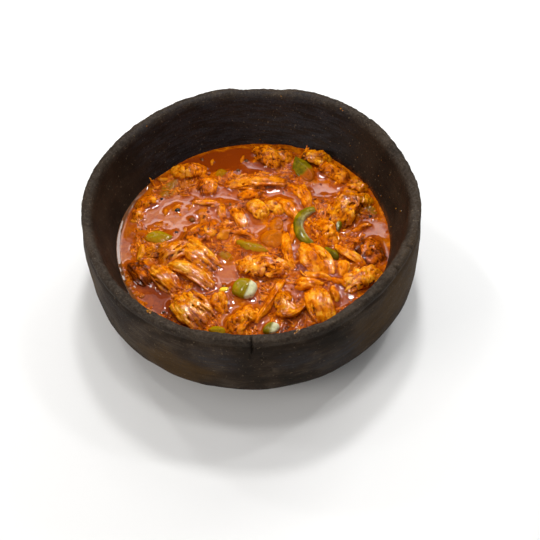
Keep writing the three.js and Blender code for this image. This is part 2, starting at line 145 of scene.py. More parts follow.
def smoothstep(value: Array, low: float, high: float) -> Array:
    """A soft step that goes from 0 at low to 1 at high."""
    part = np.clip((np.asarray(value, float) - low) / (high - low), 0, 1)
    return part * part * (3 - 2 * part)


class Noise:
    """Smooth random values on a lattice, the same on every run."""

    SIZE = 4096
    PRIMES = (73856093, 19349663, 83492791)

    def __init__(self, seed: int) -> None:
        """Draws the lattice's values from the seed."""
        self.values = np.random.default_rng(seed).uniform(-1, 1, self.SIZE)

    def at(self, points: Array, size: float) -> Array:
        """Reads one layer of noise.

        Args:
            points: Places, one row of three numbers each.
            size: The lattice's spacing in the same unit.

        Returns:
            One number from -1 to 1 for each place.
        """
        scaled = np.asarray(points, float) / size
        cell = np.floor(scaled).astype(np.int64)
        part = scaled - cell
        soft = part * part * (3 - 2 * part)
        total = np.zeros(len(scaled))
        for corner in range(8):
            step = np.array([(corner >> axis) & 1 for axis in range(3)])
            weight = np.where(step == 1, soft, 1 - soft).prod(axis=1)
            place = cell + step
            east, north, up = (place[:, axis] * self.PRIMES[axis] for axis in range(3))
            total += weight * self.values[(east ^ north ^ up) & (self.SIZE - 1)]
        return total

    def layered(self, points: Array, size: float, layers: int = 3) -> Array:
        """Reads several layers, each half as large and half as strong as the one before."""
        return sum(self.at(points + 17.3 * k, size / 2**k) / 2**k for k in range(layers)) / 1.5


NOISE = Noise(7)

# ---------- meshes


def write_note(mesh: Mesh, name: str, values: Array | list[float]) -> None:
    """Writes a number or a vector for each point of a mesh.

    Args:
        mesh: The mesh.
        name: The attribute's name.
        values: A number or a row of three for each point.
    """
    values = np.asarray(values, np.float32)
    kind, key = ("FLOAT", "value") if values.ndim == 1 else ("FLOAT_VECTOR", "vector")
    mesh.attributes.new(name, kind, "POINT").data.foreach_set(key, values.ravel())


def in_space(radius: Array, turn: Array, height: Array) -> Array:
    """Places given round the pot's axis, as one row of X, Y and Z for each."""
    return np.stack([radius * np.cos(turn), radius * np.sin(turn), height], axis=-1).reshape(-1, 3)


@dataclass
class Form:
    """A mesh in the making: its points, its faces, and what is noted at each point."""

    points: Array
    faces: list[Array]
    notes: dict[str, Array] = field(default_factory=dict)

    def mesh(self, name: str) -> Mesh:
        """Writes the form as a Blender mesh in metres.

        Args:
            name: The mesh's name.

        Returns:
            The new mesh, with one attribute for each note.
        """
        made = bpy.data.meshes.new(name)
        made.vertices.add(len(self.points))
        made.vertices.foreach_set("co", (self.points * MM).astype(np.float32).ravel())
        corners = np.concatenate([part.ravel() for part in self.faces]).astype(np.int32)
        sizes = np.concatenate([np.full(len(part), part.shape[1]) for part in self.faces])
        made.loops.add(len(corners))
        made.loops.foreach_set("vertex_index", corners)
        made.polygons.add(len(sizes))
        starts = np.concatenate([[0], np.cumsum(sizes)[:-1]]).astype(np.int32)
        made.polygons.foreach_set("loop_start", starts)
        for note, values in self.notes.items():
            write_note(made, note, values)
        made.update(calc_edges=True)
        made.shade_smooth()
        return made

    def outward(self) -> "Form":
        """Turns all faces round if the form is inside out, and returns the form."""
        volume = 0.0
        for part in self.faces:
            a, b, c = (self.points[part[:, k]] for k in range(3))
            volume += np.einsum("ij,ij->", a, np.cross(b, c))
            if part.shape[1] == 4:
                a, b, c = (self.points[part[:, k]] for k in (0, 2, 3))
                volume += np.einsum("ij,ij->", a, np.cross(b, c))
        if volume < 0:
            self.faces = [part[:, ::-1] for part in self.faces]
        return self

    def edges(self) -> Array:
        """The pairs of neighbouring points along the faces' sides, each pair both ways."""
        pairs = [np.stack([part.ravel(), np.roll(part, -1, axis=1).ravel()], axis=1)
                 for part in self.faces]
        joined = np.concatenate(pairs)
        return np.concatenate([joined, joined[:, ::-1]])

    def normals(self) -> Array:
        """One unit normal for each point."""
        total = np.zeros_like(self.points)
        for part in self.faces:
            corner = [self.points[part[:, k]] for k in range(part.shape[1])]
            area = np.cross(corner[2] - corner[0], corner[-1] - corner[1])
            for k in range(part.shape[1]):
                for axis in range(3):
                    total[:, axis] += np.bincount(part[:, k], area[:, axis], len(total))
        return total / np.maximum(np.linalg.norm(total, axis=1, keepdims=True), 1e-9)

    def push(self, distance: Array) -> None:
        """Moves each point out of the surface by its own distance."""
        self.points = self.points + self.normals() * distance[:, None]


def joined(forms: list[Form]) -> Form:
    """Puts forms together in one, without joining their skins.

    Args:
        forms: Forms that have the same notes.

    Returns:
        The joined form.
    """
    first = np.concatenate([[0], np.cumsum([len(form.points) for form in forms])])
    faces = [part + start for form, start in zip(forms, first) for part in form.faces]
    notes = {name: np.concatenate([form.notes[name] for form in forms]) for name in forms[0].notes}
    return Form(np.concatenate([form.points for form in forms]), faces, notes)


def relaxed(points: Array, edges: Array, rounds: int, share: float = 0.6) -> Array:
    """Draws points towards their neighbours' middle.

    Args:
        points: The points' places.
        edges: Pairs of neighbours, each pair both ways.
        rounds: How often it is done.
        share: How far a point goes each time, from 0 to 1.

    Returns:
        The new places.
    """
    count = np.maximum(np.bincount(edges[:, 0], minlength=len(points)), 1)
    for _ in range(rounds):
        middle = np.stack([np.bincount(edges[:, 0], points[edges[:, 1], axis], len(points)) / count
                           for axis in range(3)], axis=1)
        points = points + (middle - points) * share
    return points


def ring_faces(rows: int, columns: int) -> list[Array]:
    """The faces of a shape of rings whose two poles come last.

    Args:
        rows: How many rings it has.
        columns: How many points a ring has.

    Returns:
        Its quads and the two fans.
    """
    first = np.arange(columns)
    after = (first + 1) % columns
    here = np.arange(rows - 1)[:, None] * columns + first[None]
    beside = np.arange(rows - 1)[:, None] * columns + after[None]
    quads = np.stack([here, beside, beside + columns, here + columns], axis=-1).reshape(-1, 4)
    last = (rows - 1) * columns
    low = np.stack([after, first, np.full(columns, rows * columns)], axis=1)
    high = np.stack([last + first, last + after, np.full(columns, rows * columns + 1)], axis=1)
    return [quads, low, high]


def tube(path: Array, radius: Array, flat: float = 1.0, sides: int = 8) -> Form:
    """A closed round bar along a path, drawn to a point at both ends.

    Args:
        path: The points of its middle line.
        radius: Its radius at each of them.
        flat: Its thickness by its width.
        sides: How many corners its section has.

    Returns:
        The form, facing outwards.
    """
    along = np.gradient(path, axis=0)
    along /= np.maximum(np.linalg.norm(along, axis=1, keepdims=True), 1e-9)
    steep = abs(along[:, 2]).mean() > 0.9
    side = np.cross(along, [1.0, 0.0, 0.0] if steep else [0.0, 0.0, 1.0])
    side /= np.linalg.norm(side, axis=1, keepdims=True)
    up = np.cross(side, along)
    turn = np.linspace(0, 2 * math.pi, sides, endpoint=False)
    ring = np.cos(turn)[None, :, None] * side[:, None] + flat * np.sin(turn)[None, :, None] * up[:, None]
    rings = path[:, None] + ring * radius[:, None, None]
    tips = np.stack([path[0] - along[0] * radius[0] * 0.6, path[-1] + along[-1] * radius[-1] * 0.6])
    return Form(np.concatenate([rings.reshape(-1, 3), tips]), ring_faces(len(path), sides)).outward()


def put_in_scene(name: str, data: bpy.types.ID) -> SceneObject:
    """Adds an object to the scene.

    Args:
        name: Its name.
        data: Its mesh, lamp or camera.

    Returns:
        The new object.
    """
    made = bpy.data.objects.new(name, data)
    bpy.context.scene.collection.objects.link(made)
    return made


def fused(form: Form, voxel: float) -> Form:
    """Draws one closed skin of small squares round closed forms that run into each other.

    Args:
        form: The forms, joined.
        voxel: The squares' size in millimetres.

    Returns:
        The skin, without notes.
    """
    block = put_in_scene("skin", form.mesh("skin"))
    remesh = block.modifiers.new("skin", "REMESH")
    remesh.mode = "VOXEL"
    remesh.voxel_size = voxel * MM
    depsgraph = bpy.context.evaluated_depsgraph_get()
    mesh = bpy.data.meshes.new_from_object(block.evaluated_get(depsgraph))
    points = np.empty(len(mesh.vertices) * 3, np.float32)
    mesh.vertices.foreach_get("co", points)
    corners = np.empty(len(mesh.loops), np.int32)
    mesh.loops.foreach_get("vertex_index", corners)
    old = block.data
    bpy.data.objects.remove(block)
    bpy.data.meshes.remove(old)
    bpy.data.meshes.remove(mesh)
    return Form(points.reshape(-1, 3) / MM, [corners.reshape(-1, 4)])


def add_piece(name: str, mesh: Mesh, material: Material,
              nodes: list[str]) -> SceneObject:
    """Puts a finished mesh in the scene as a piece of the stew.

    Args:
        name: The piece's name.
        mesh: Its mesh, in metres and in place.
        material: Its finish.
        nodes: The solids that it stands for.

    Returns:
        The new object.
    """
    piece = put_in_scene(name, mesh)
    if not mesh.materials:
        mesh.materials.append(material)
    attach(piece, BODY)
    if nodes:
        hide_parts(*nodes)
    log.info("%s: %d faces", name, len(mesh.polygons))
    return piece


# ---------- materials


class Graph:
    """Adds nodes to one node tree and links them."""

    def __init__(self, tree: NodeTree) -> None:
        """Keeps the tree that nodes are added to."""
        self.tree = tree

    def feed(self, node: bpy.types.Node, inputs: dict[str | int, object]) -> None:
        """Gives some of a node's inputs their values.

        Args:
            node: The node.
            inputs: A value or another node's socket for each input.
        """
        for name, value in inputs.items():
            if isinstance(value, Socket):
                self.tree.links.new(value, node.inputs[name])
            else:
                node.inputs[name].default_value = value

    def node(self, kind: str, inputs: dict[str | int, object] | None = None,
             **settings: object) -> bpy.types.Node:
        """Adds a node.

        Args:
            kind: The node's type, such as ShaderNodeTexNoise.
            inputs: A value or another node's socket for each input.
            settings: The node's own properties.

        Returns:
            The new node.
        """
        node = self.tree.nodes.new(kind)
        for name, value in settings.items():
            setattr(node, name, value)
        self.feed(node, inputs or {})
        return node

    def mix(self, share: object, first: object, second: object, blend: str = "MIX") -> Socket:
        """Mixes two colours.

        Args:
            share: The second colour's share, a number or a socket.
            first: The first colour, or a socket.
            second: The second colour, or a socket.
            blend: How they are mixed.

        Returns:
            The mixed colour's socket.
        """
        node = self.node("ShaderNodeMix", data_type="RGBA", blend_type=blend)
        first, second = ((*value, 1.0) if isinstance(value, tuple) else value for value in (first, second))
        self.feed(node, {0: share, 6: first, 7: second})
        return node.outputs[2]

    def math(self, operation: str, *values: object, clamp: bool = False) -> Socket:
        """The result of a math operation, such as MULTIPLY, on numbers or sockets."""
        inputs = dict(enumerate(values))
        return self.node("ShaderNodeMath", inputs, operation=operation, use_clamp=clamp).outputs[0]

    def times(self, first: object, second: object, clamp: bool = False) -> Socket:
        """The product of two numbers or sockets."""
        return self.math("MULTIPLY", first, second, clamp=clamp)

    def plus(self, first: object, second: object, clamp: bool = False) -> Socket:
        """The sum of two numbers or sockets."""
        return self.math("ADD", first, second, clamp=clamp)

    def less(self, first: object, second: object, clamp: bool = False) -> Socket:
        """The first number or socket less the second."""
        return self.math("SUBTRACT", first, second, clamp=clamp)

    def scaled(self, value: Socket, factor: float, offset: float, clamp: bool = False) -> Socket:
        """A value times a factor, and an offset added."""
        return self.math("MULTIPLY_ADD", value, factor, offset, clamp=clamp)

    def spread(self, value: Socket, low: float, high: float, start: float = 0.0, end: float = 1.0) -> Socket:
        """Maps the range of a value from low to high softly to the range from start to end."""
        inputs = {0: value, 1: low, 2: high, 3: start, 4: end}
        return self.node("ShaderNodeMapRange", inputs, interpolation_type="SMOOTHSTEP").outputs[0]

    def bump(self, height: Socket, strength: float, distance: float) -> Socket:
        """The normals of a fine relief, where a height of 1 stands for a distance in metres."""
        return self.node("ShaderNodeBump", {"Height": height, "Strength": strength,
                                            "Distance": distance}).outputs[0]

    def grain(self, group: NodeTree, vector: Socket, coarse: float, fine: float) -> dict[str, Socket]:
        """Places the shared grain, with so many patches and grains in a metre, and gives its outputs."""
        inputs = {"Vector": vector, "Coarse": coarse, "Fine": fine}
        return dict(self.node("ShaderNodeGroup", inputs, node_tree=group).outputs.items())

    def note(self, name: str, output: str = "Fac") -> Socket:
        """The socket of a value that the mesh carries at its points."""
        return self.node("ShaderNodeAttribute", attribute_name=name).outputs[output]

    def place(self, scale: Triple = (1.0, 1.0, 1.0)) -> Socket:
        """Object coordinates, stretched by factors on X, Y and Z."""
        source = self.node("ShaderNodeTexCoord").outputs["Object"]
        return self.node("ShaderNodeMapping", {"Vector": source, "Scale": scale}).outputs[0]

    def noise(self, vector: Socket, scale: float, detail: float = 3.0, rough: float = 0.5,
              distortion: float = 0.0) -> Socket:
        """The value of a noise texture with so many grains in a metre."""
        inputs = {"Vector": vector, "Scale": scale, "Detail": detail, "Roughness": rough,
                  "Distortion": distortion}
        return self.node("ShaderNodeTexNoise", inputs).outputs["Fac"]

    def ramp(self, value: Socket, stops: list[tuple[float, Colour]]) -> Socket:
        """A colour that follows a value.

        Args:
            value: The value's socket.
            stops: Places from 0 to 1 and the linear colour at each.

        Returns:
            The colour's socket.
        """
        node = self.node("ShaderNodeValToRGB", {"Fac": value})
        elements = node.color_ramp.elements
        while len(elements) < len(stops):
            elements.new(0.5)
        for element, (place, colour) in zip(elements, stops):
            element.position = place
            element.color = (*colour, 1.0)
        return node.outputs["Color"]


def new_material(name: str) -> tuple[Material, Graph, bpy.types.Node]:
    """Starts a material.

    Args:
        name: Its name.

    Returns:
        The material, the graph of its nodes and its Principled shader.
    """
    material = bpy.data.materials.new(name)
    material.use_nodes = True
    graph = Graph(material.node_tree)
    return material, graph, material.node_tree.nodes["Principled BSDF"]


def build_grain_group() -> NodeTree:
    """Builds the shared group that gives two sizes of mottling and a height, for any finish."""
    group = bpy.data.node_groups.new("uneven_grain", "ShaderNodeTree")
    for name, kind in (("Vector", "Vector"), ("Coarse", "Float"), ("Fine", "Float")):
        group.interface.new_socket(name, in_out="INPUT", socket_type="NodeSocket" + kind)
    for name in ("Patches", "Grain", "Height"):
        group.interface.new_socket(name, in_out="OUTPUT", socket_type="NodeSocketFloat")
    graph = Graph(group)
    given = graph.node("NodeGroupInput").outputs
    coarse = graph.node("ShaderNodeTexNoise", {"Vector": given["Vector"], "Scale": given["Coarse"],
                                               "Detail": 4.0, "Distortion": 0.4}).outputs["Fac"]
    fine = graph.node("ShaderNodeTexNoise", {"Vector": given["Vector"], "Scale": given["Fine"],
                                             "Detail": 5.0, "Roughness": 0.65}).outputs["Fac"]
    patches = graph.spread(coarse, 0.36, 0.64)
    grain = graph.spread(fine, 0.3, 0.72)
    height = graph.plus(graph.times(coarse, 0.5), graph.times(fine, 0.5))
    graph.node("NodeGroupOutput", {"Patches": patches, "Grain": grain, "Height": height})
    return group


@dataclass(frozen=True)
class ClayFinish:
    """Smoke-blackened clay: matt outside, darker and oiled inside, worn lighter along the lip."""

    soot: Colour = (0.0105, 0.0066, 0.0040)
    earth: Colour = (0.024, 0.0146, 0.0084)
    ash: Colour = (0.064, 0.046, 0.031)
    dust: Colour = (0.053, 0.041, 0.031)
    ochre: Colour = (0.056, 0.028, 0.006)
    slate: Colour = (0.032, 0.0300, 0.033)
    stain: Colour = (0.16, 0.045, 0.006)
    oiled: Colour = (0.0095, 0.0058, 0.0036)
    oiled_light: Colour = (0.026, 0.0160, 0.0094)
    spots: Colour = (0.19, 0.14, 0.09)

    def build(self, group: NodeTree) -> Material:
        """Builds the material, which reads the notes lip, inside, stain, soot, ochre and slate."""
        material, graph, shader = new_material("smoked_clay")
        place = graph.place()
        grain = graph.grain(group, place, 38.0, 850.0)
        streaks = graph.noise(graph.place((1.0, 1.0, 7.0)), 55.0, 4.0, 0.6)
        tone = graph.plus(graph.times(grain["Patches"], 0.38), graph.scaled(streaks, 0.62, -0.02))
        outer = graph.ramp(tone, [(0.2, self.soot), (0.55, self.earth), (0.85, self.ash)])
        scratches = graph.noise(graph.place((0.35, 0.35, 3.0)), 300.0, 3.0, 0.6)
        both = graph.plus(graph.times(streaks, 0.6), graph.times(scratches, 0.4))
        mottle = graph.spread(both, 0.36, 0.6)
        warm = graph.times(graph.note("ochre"), graph.scaled(mottle, 0.55, 0.45), clamp=True)
        outer = graph.mix(graph.times(warm, 0.85), outer, self.ochre)
        worn = graph.times(graph.spread(scratches, 0.56, 0.7), 0.3)
        outer = graph.mix(worn, outer, self.ash)
        inner = graph.ramp(tone, [(0.2, self.oiled), (0.8, self.oiled_light)])
        colour = graph.mix(graph.note("inside"), outer, inner)
        cool = graph.times(graph.note("slate"), graph.less(1.15, mottle), clamp=True)
        colour = graph.mix(graph.times(cool, 0.75), colour, self.slate)
        pores = graph.spread(graph.noise(place, 420.0, 4.0, 0.7), 0.4, 0.62)
        lip = graph.times(graph.note("lip"), graph.spread(streaks, 0.25, 0.7, 0.6, 1.0))
        lip = graph.times(lip, graph.scaled(pores, 0.75, 0.25))
        colour = graph.mix(lip, colour, self.dust)
        colour = graph.mix(graph.times(graph.note("soot"), 0.7), colour, self.soot)
        speckle = graph.scaled(grain["Grain"], 0.7, 0.62)
        grey = graph.node("ShaderNodeCombineColor", {0: speckle, 1: speckle, 2: speckle}).outputs[0]
        colour = graph.mix(1.0, colour, grey, "MULTIPLY")
        spots = graph.spread(graph.noise(place, 520.0, 2.0), 0.66, 0.72)
        colour = graph.mix(graph.times(spots, 0.35), colour, self.spots)
        smear = graph.times(graph.note("stain"), graph.spread(grain["Grain"], 0.1, 0.8))
        colour = graph.mix(smear, colour, self.stain)
        rough = graph.spread(graph.note("inside"), 0.0, 1.0, 0.72, 0.62)
        rough = graph.plus(rough, graph.scaled(grain["Grain"], 0.2, -0.1))
        graph.feed(shader, {"Base Color": colour, "Roughness": rough, "Specular IOR Level": 0.08,
                            "Normal": graph.bump(grain["Height"], 0.6, 0.0009)})
        return material


@dataclass(frozen=True)
class BrothFinish:
    """Red-orange sauce under a clear film of fat."""

    deep: Colour = (0.22, 0.030, 0.0003)
    sauce: Colour = (0.37, 0.065, 0.0004)
    cloudy: Colour = (0.46, 0.115, 0.0008)
    amber: Colour = (0.66, 0.18, 0.001)
    olive: Colour = (0.29, 0.13, 0.0008)
    film: Colour = (0.09, 0.04, 0.012)
    specks: Colour = (0.05, 0.012, 0.002)

    def build(self, group: NodeTree) -> Material:
        """Builds the material, which reads the notes near, busy, shade, deep and film."""
        material, graph, shader = new_material("red_sauce")
        place = graph.place()
        grain = graph.grain(group, place, 85.0, 420.0)
        level = graph.scaled(grain["Patches"], 0.4, 0.1)
        level = graph.plus(level, graph.times(grain["Grain"], 0.3))
        level = graph.plus(level, graph.scaled(graph.note("busy"), 0.05, 0.06))
        # Darker around each piece: painted shade in the broth's halo.
        level = graph.less(level, graph.times(graph.note("near"), 0.36))
        # Darker in some pools: partly deeper sauce and partly painted shade, such as the back wall's.
        level = graph.less(level, graph.note("deep"), clamp=True)
        colour = graph.ramp(level, [(0.0, self.deep), (0.45, self.sauce), (0.95, self.cloudy)])
        shown = graph.spread(grain["Grain"], 0.0, 1.0, 0.6, 1.0)
        under = graph.spread(graph.noise(place, 150.0, 3.0, 0.6, 0.6), 0.5, 0.66, 0.0, 0.75)
        under = graph.times(under, graph.note("busy"))
        amber = graph.times(graph.spread(graph.note("shade"), 0.0, 1.0), shown)
        amber = graph.math("MAXIMUM", amber, under)
        colour = graph.mix(amber, colour, self.amber)
        olive = graph.times(graph.spread(graph.note("shade"), 0.0, -1.0), shown)
        colour = graph.mix(olive, colour, self.olive)
        specks = graph.spread(graph.noise(place, 700.0, 1.0), 0.7, 0.76)
        colour = graph.mix(graph.times(specks, 0.8), colour, self.specks)
        colour = graph.mix(graph.times(graph.note("film"), 0.85), colour, self.film)
        rough = graph.scaled(grain["Grain"], 0.1, 0.3)
        gloss = graph.spread(graph.note("busy"), 0.1, 0.9, 1.0, 0.1)
        gloss = graph.math("MAXIMUM", gloss, graph.spread(graph.note("near"), 0.55, 0.85, 0.0, 0.32))
        gloss = graph.math("MAXIMUM", gloss, graph.note("film"))
        graph.feed(shader, {"Base Color": colour, "Roughness": rough, "Specular IOR Level": 0.0,
                            "Coat Weight": gloss, "Coat IOR": 1.46, "Coat Roughness": 0.04,
                            "Normal": graph.bump(grain["Height"], 0.12, 0.0006)})
        return material


@dataclass(frozen=True)
class MeatFinish:
    """Stewed fibres, brighter where they stand up, partly as painted light on their tops, and dark red-brown
    in the hollows between them, partly sauce lying there and partly painted shade.
    """

    name: str
    hollow: Colour = (0.12, 0.019, 0.0002)
    sauced: Colour = (0.35, 0.060, 0.0003)
    fibre: Colour = (0.56, 0.118, 0.0004)
    bright: Colour = (0.74, 0.208, 0.0008)
    pale: Colour = (0.88, 0.36, 0.02)
    golden: Colour = (0.88, 1.4, 1.0)

    def build(self, group: NodeTree) -> Material:
        """Builds the material, which reads the notes tone, hollow, height, grain, wet and gold."""
        material, graph, shader = new_material(self.name)
        place = graph.place()
        grain = graph.grain(group, place, 210.0, 900.0)
        along = graph.node("ShaderNodeMapping", {"Vector": graph.note("grain", "Vector"),
                                                 "Scale": (0.22, 1.3, 1.0)}).outputs[0]
        fibres = graph.noise(along, 1.0, 3.0, 0.55)
        bits = graph.node("ShaderNodeTexVoronoi", {"Vector": place, "Scale": 420.0, "Randomness": 1.0})
        bit = graph.node("ShaderNodeSeparateColor", {0: bits.outputs["Color"]}).outputs[0]
        level = graph.scaled(graph.note("tone"), 0.3, 0.42)
        # Lighter higher above the broth: darker low down where the sauce coats it, and painted light on the
        # tops.
        level = graph.plus(level, graph.times(graph.note("height"), 0.2))
        # Darker in the hollows between fibres: sauce lying there and painted shade.
        level = graph.less(level, graph.times(graph.note("hollow"), 0.72))
        level = graph.plus(level, graph.scaled(grain["Patches"], 0.2, -0.1))
        glaze = graph.spread(graph.noise(place, 95.0, 2.0), 0.35, 0.65, -0.2, 0.16)
        level = graph.plus(level, glaze)
        level = graph.plus(level, graph.scaled(bit, 0.34, -0.15))
        level = graph.plus(level, graph.scaled(fibres, 0.5, -0.25), clamp=True)
        colour = graph.ramp(level, [(0.0, self.hollow), (0.22, self.sauced), (0.46, self.fibre),
                                    (0.72, self.bright), (1.0, self.pale)])
        colour = graph.mix(graph.note("gold"), colour, self.golden, "MULTIPLY")
        rough = graph.scaled(grain["Grain"], 0.2, 0.36)
        wet = graph.scaled(graph.note("wet"), 0.9, 0.1, clamp=True)
        height = graph.plus(graph.times(fibres, 0.75), graph.times(grain["Height"], 0.6))
        graph.feed(shader, {"Base Color": colour, "Roughness": rough, "Specular IOR Level": 0.0,
                            "Subsurface Weight": 0.1, "Subsurface Radius": (1.0, 0.35, 0.1),
                            "Subsurface Scale": 0.0014, "Coat Weight": wet, "Coat IOR": 1.7,
                            "Coat Roughness": 0.05, "Normal": graph.bump(height, 0.7, 0.0006)})
        return material


@dataclass(frozen=True)
class SkinFinish:
    """Soft cooked vegetable: a coloured skin, a paler cut side, which on some peppers is a painted highlight,
    and sauce where it lies low and in its hollows, where it also stands for painted shade.
    """

    name: str
    dark: Colour
    skin: Colour
    ripe: Colour
    flesh_and_highlight: Colour
    sauce: Colour = (0.36, 0.062, 0.001)
    specks: Colour = (0.04, 0.016, 0.003)

    def build(self, group: NodeTree) -> Material:
        """Builds the material, which reads the notes tone, cut, hollow and height."""
        material, graph, shader = new_material(self.name)
        place = graph.place()
        grain = graph.grain(group, place, 150.0, 700.0)
        tone = graph.scaled(graph.note("tone"), 0.5, 0.5)
        tone = graph.plus(tone, graph.scaled(grain["Patches"], 0.36, -0.18), clamp=True)
        colour = graph.ramp(tone, [(0.0, self.dark), (0.5, self.skin), (1.0, self.ripe)])
        # The pale side: cut flesh, and on some peppers a painted highlight.
        colour = graph.mix(graph.note("cut"), colour, self.flesh_and_highlight)
        low = graph.less(1.0, graph.note("height"))
        low = graph.plus(low, graph.scaled(grain["Patches"], 0.5, -0.25))
        # Sauce colour in the hollows: sauce lying there and painted shade.
        hollow = graph.times(graph.note("hollow"), 0.8)
        sauced = graph.math("MAXIMUM", graph.spread(low, 0.66, 0.95), hollow)
        colour = graph.mix(sauced, colour, self.sauce)
        specks = graph.spread(graph.noise(place, 600.0, 1.0), 0.69, 0.74)
        colour = graph.mix(graph.times(specks, 0.7), colour, self.specks)
        rough = graph.scaled(grain["Grain"], 0.15, 0.35)
        graph.feed(shader, {"Base Color": colour, "Roughness": rough, "Specular IOR Level": 0.0,
                            "Subsurface Weight": 0.1, "Subsurface Radius": (0.8, 0.6, 0.15),
                            "Subsurface Scale": 0.0018, "Coat Weight": 0.25, "Coat Roughness": 0.05,
                            "Normal": graph.bump(grain["Height"], 0.35, 0.0005)})
        return material


@dataclass(frozen=True)
class SpeckFinish:
    """Peppercorns and seeds: dark, wrinkled, with a paler note on some of them."""

    dark: Colour = (0.008, 0.006, 0.005)
    brown: Colour = (0.20, 0.06, 0.004)

    def build(self, group: NodeTree) -> Material:
        """Builds the material, which reads the note tone."""
        material, graph, shader = new_material("peppercorn_skin")
        grain = graph.grain(group, graph.place(), 500.0, 1600.0)
        share = graph.times(graph.note("tone"), graph.spread(grain["Patches"], 0.0, 1.0, 0.7, 1.0))
        colour = graph.mix(share, self.dark, self.brown)
        graph.feed(shader, {"Base Color": colour, "Roughness": 0.35, "Specular IOR Level": 0.1,
                            "Coat Weight": 0.3, "Coat Roughness": 0.1,
                            "Normal": graph.bump(grain["Height"], 0.6, 0.0005)})
        return material


# ---------- the pot


@dataclass(frozen=True)
class Wave:
    """One way in which the wall is out of round: a number of lobes, their size and direction."""

    lobes: int
    size: float
    phase: float


@dataclass(frozen=True)
class Stretch:
    """A stretch of the rim between two directions, in degrees counter-clockwise from +X."""

    start: float
    end: float

    def share(self, angle: Array) -> Array:
        """How far directions lie within the stretch.

        Args:
            angle: Directions in radians.

        Returns:
            Numbers from 0 to 1, with soft ends.
        """
        middle = math.radians((self.start + self.end) / 2)
        half = math.radians((self.end - self.start) / 2)
        away = np.abs(np.arctan2(np.sin(angle - middle), np.cos(angle - middle)))
        return 1 - smoothstep(away, half * 0.6, half * 1.3)


@dataclass(frozen=True)
class Scar:
    """A crack or pit in the clay: a line between two places, each a direction and a height."""

    start: tuple[float, float]
    end: tuple[float, float]
    width: float
    depth: float


@dataclass(frozen=True)
class Blotch:
    """A patch that the fire coloured on the outer wall: its direction, height, half width and half height."""

    angle: float
    height: float
    wide: float
    tall: float

    def share(self, turn: Array, height: Array, ragged: Array) -> Array:
        """How far points of the wall lie in the patch.

        Args:
            turn: The points' directions in radians.
            height: Their heights.
            ragged: Noise that makes the patch's edge uneven.

        Returns:
            Numbers from 0 to 1, with soft ends.
        """
        along = turn - math.radians(self.angle)
        along = np.arctan2(np.sin(along), np.cos(along)) / math.radians(self.wide)
        return 1 - smoothstep(np.hypot(along, (height - self.height) / self.tall) + 0.5 * ragged, 0.5, 1.3)


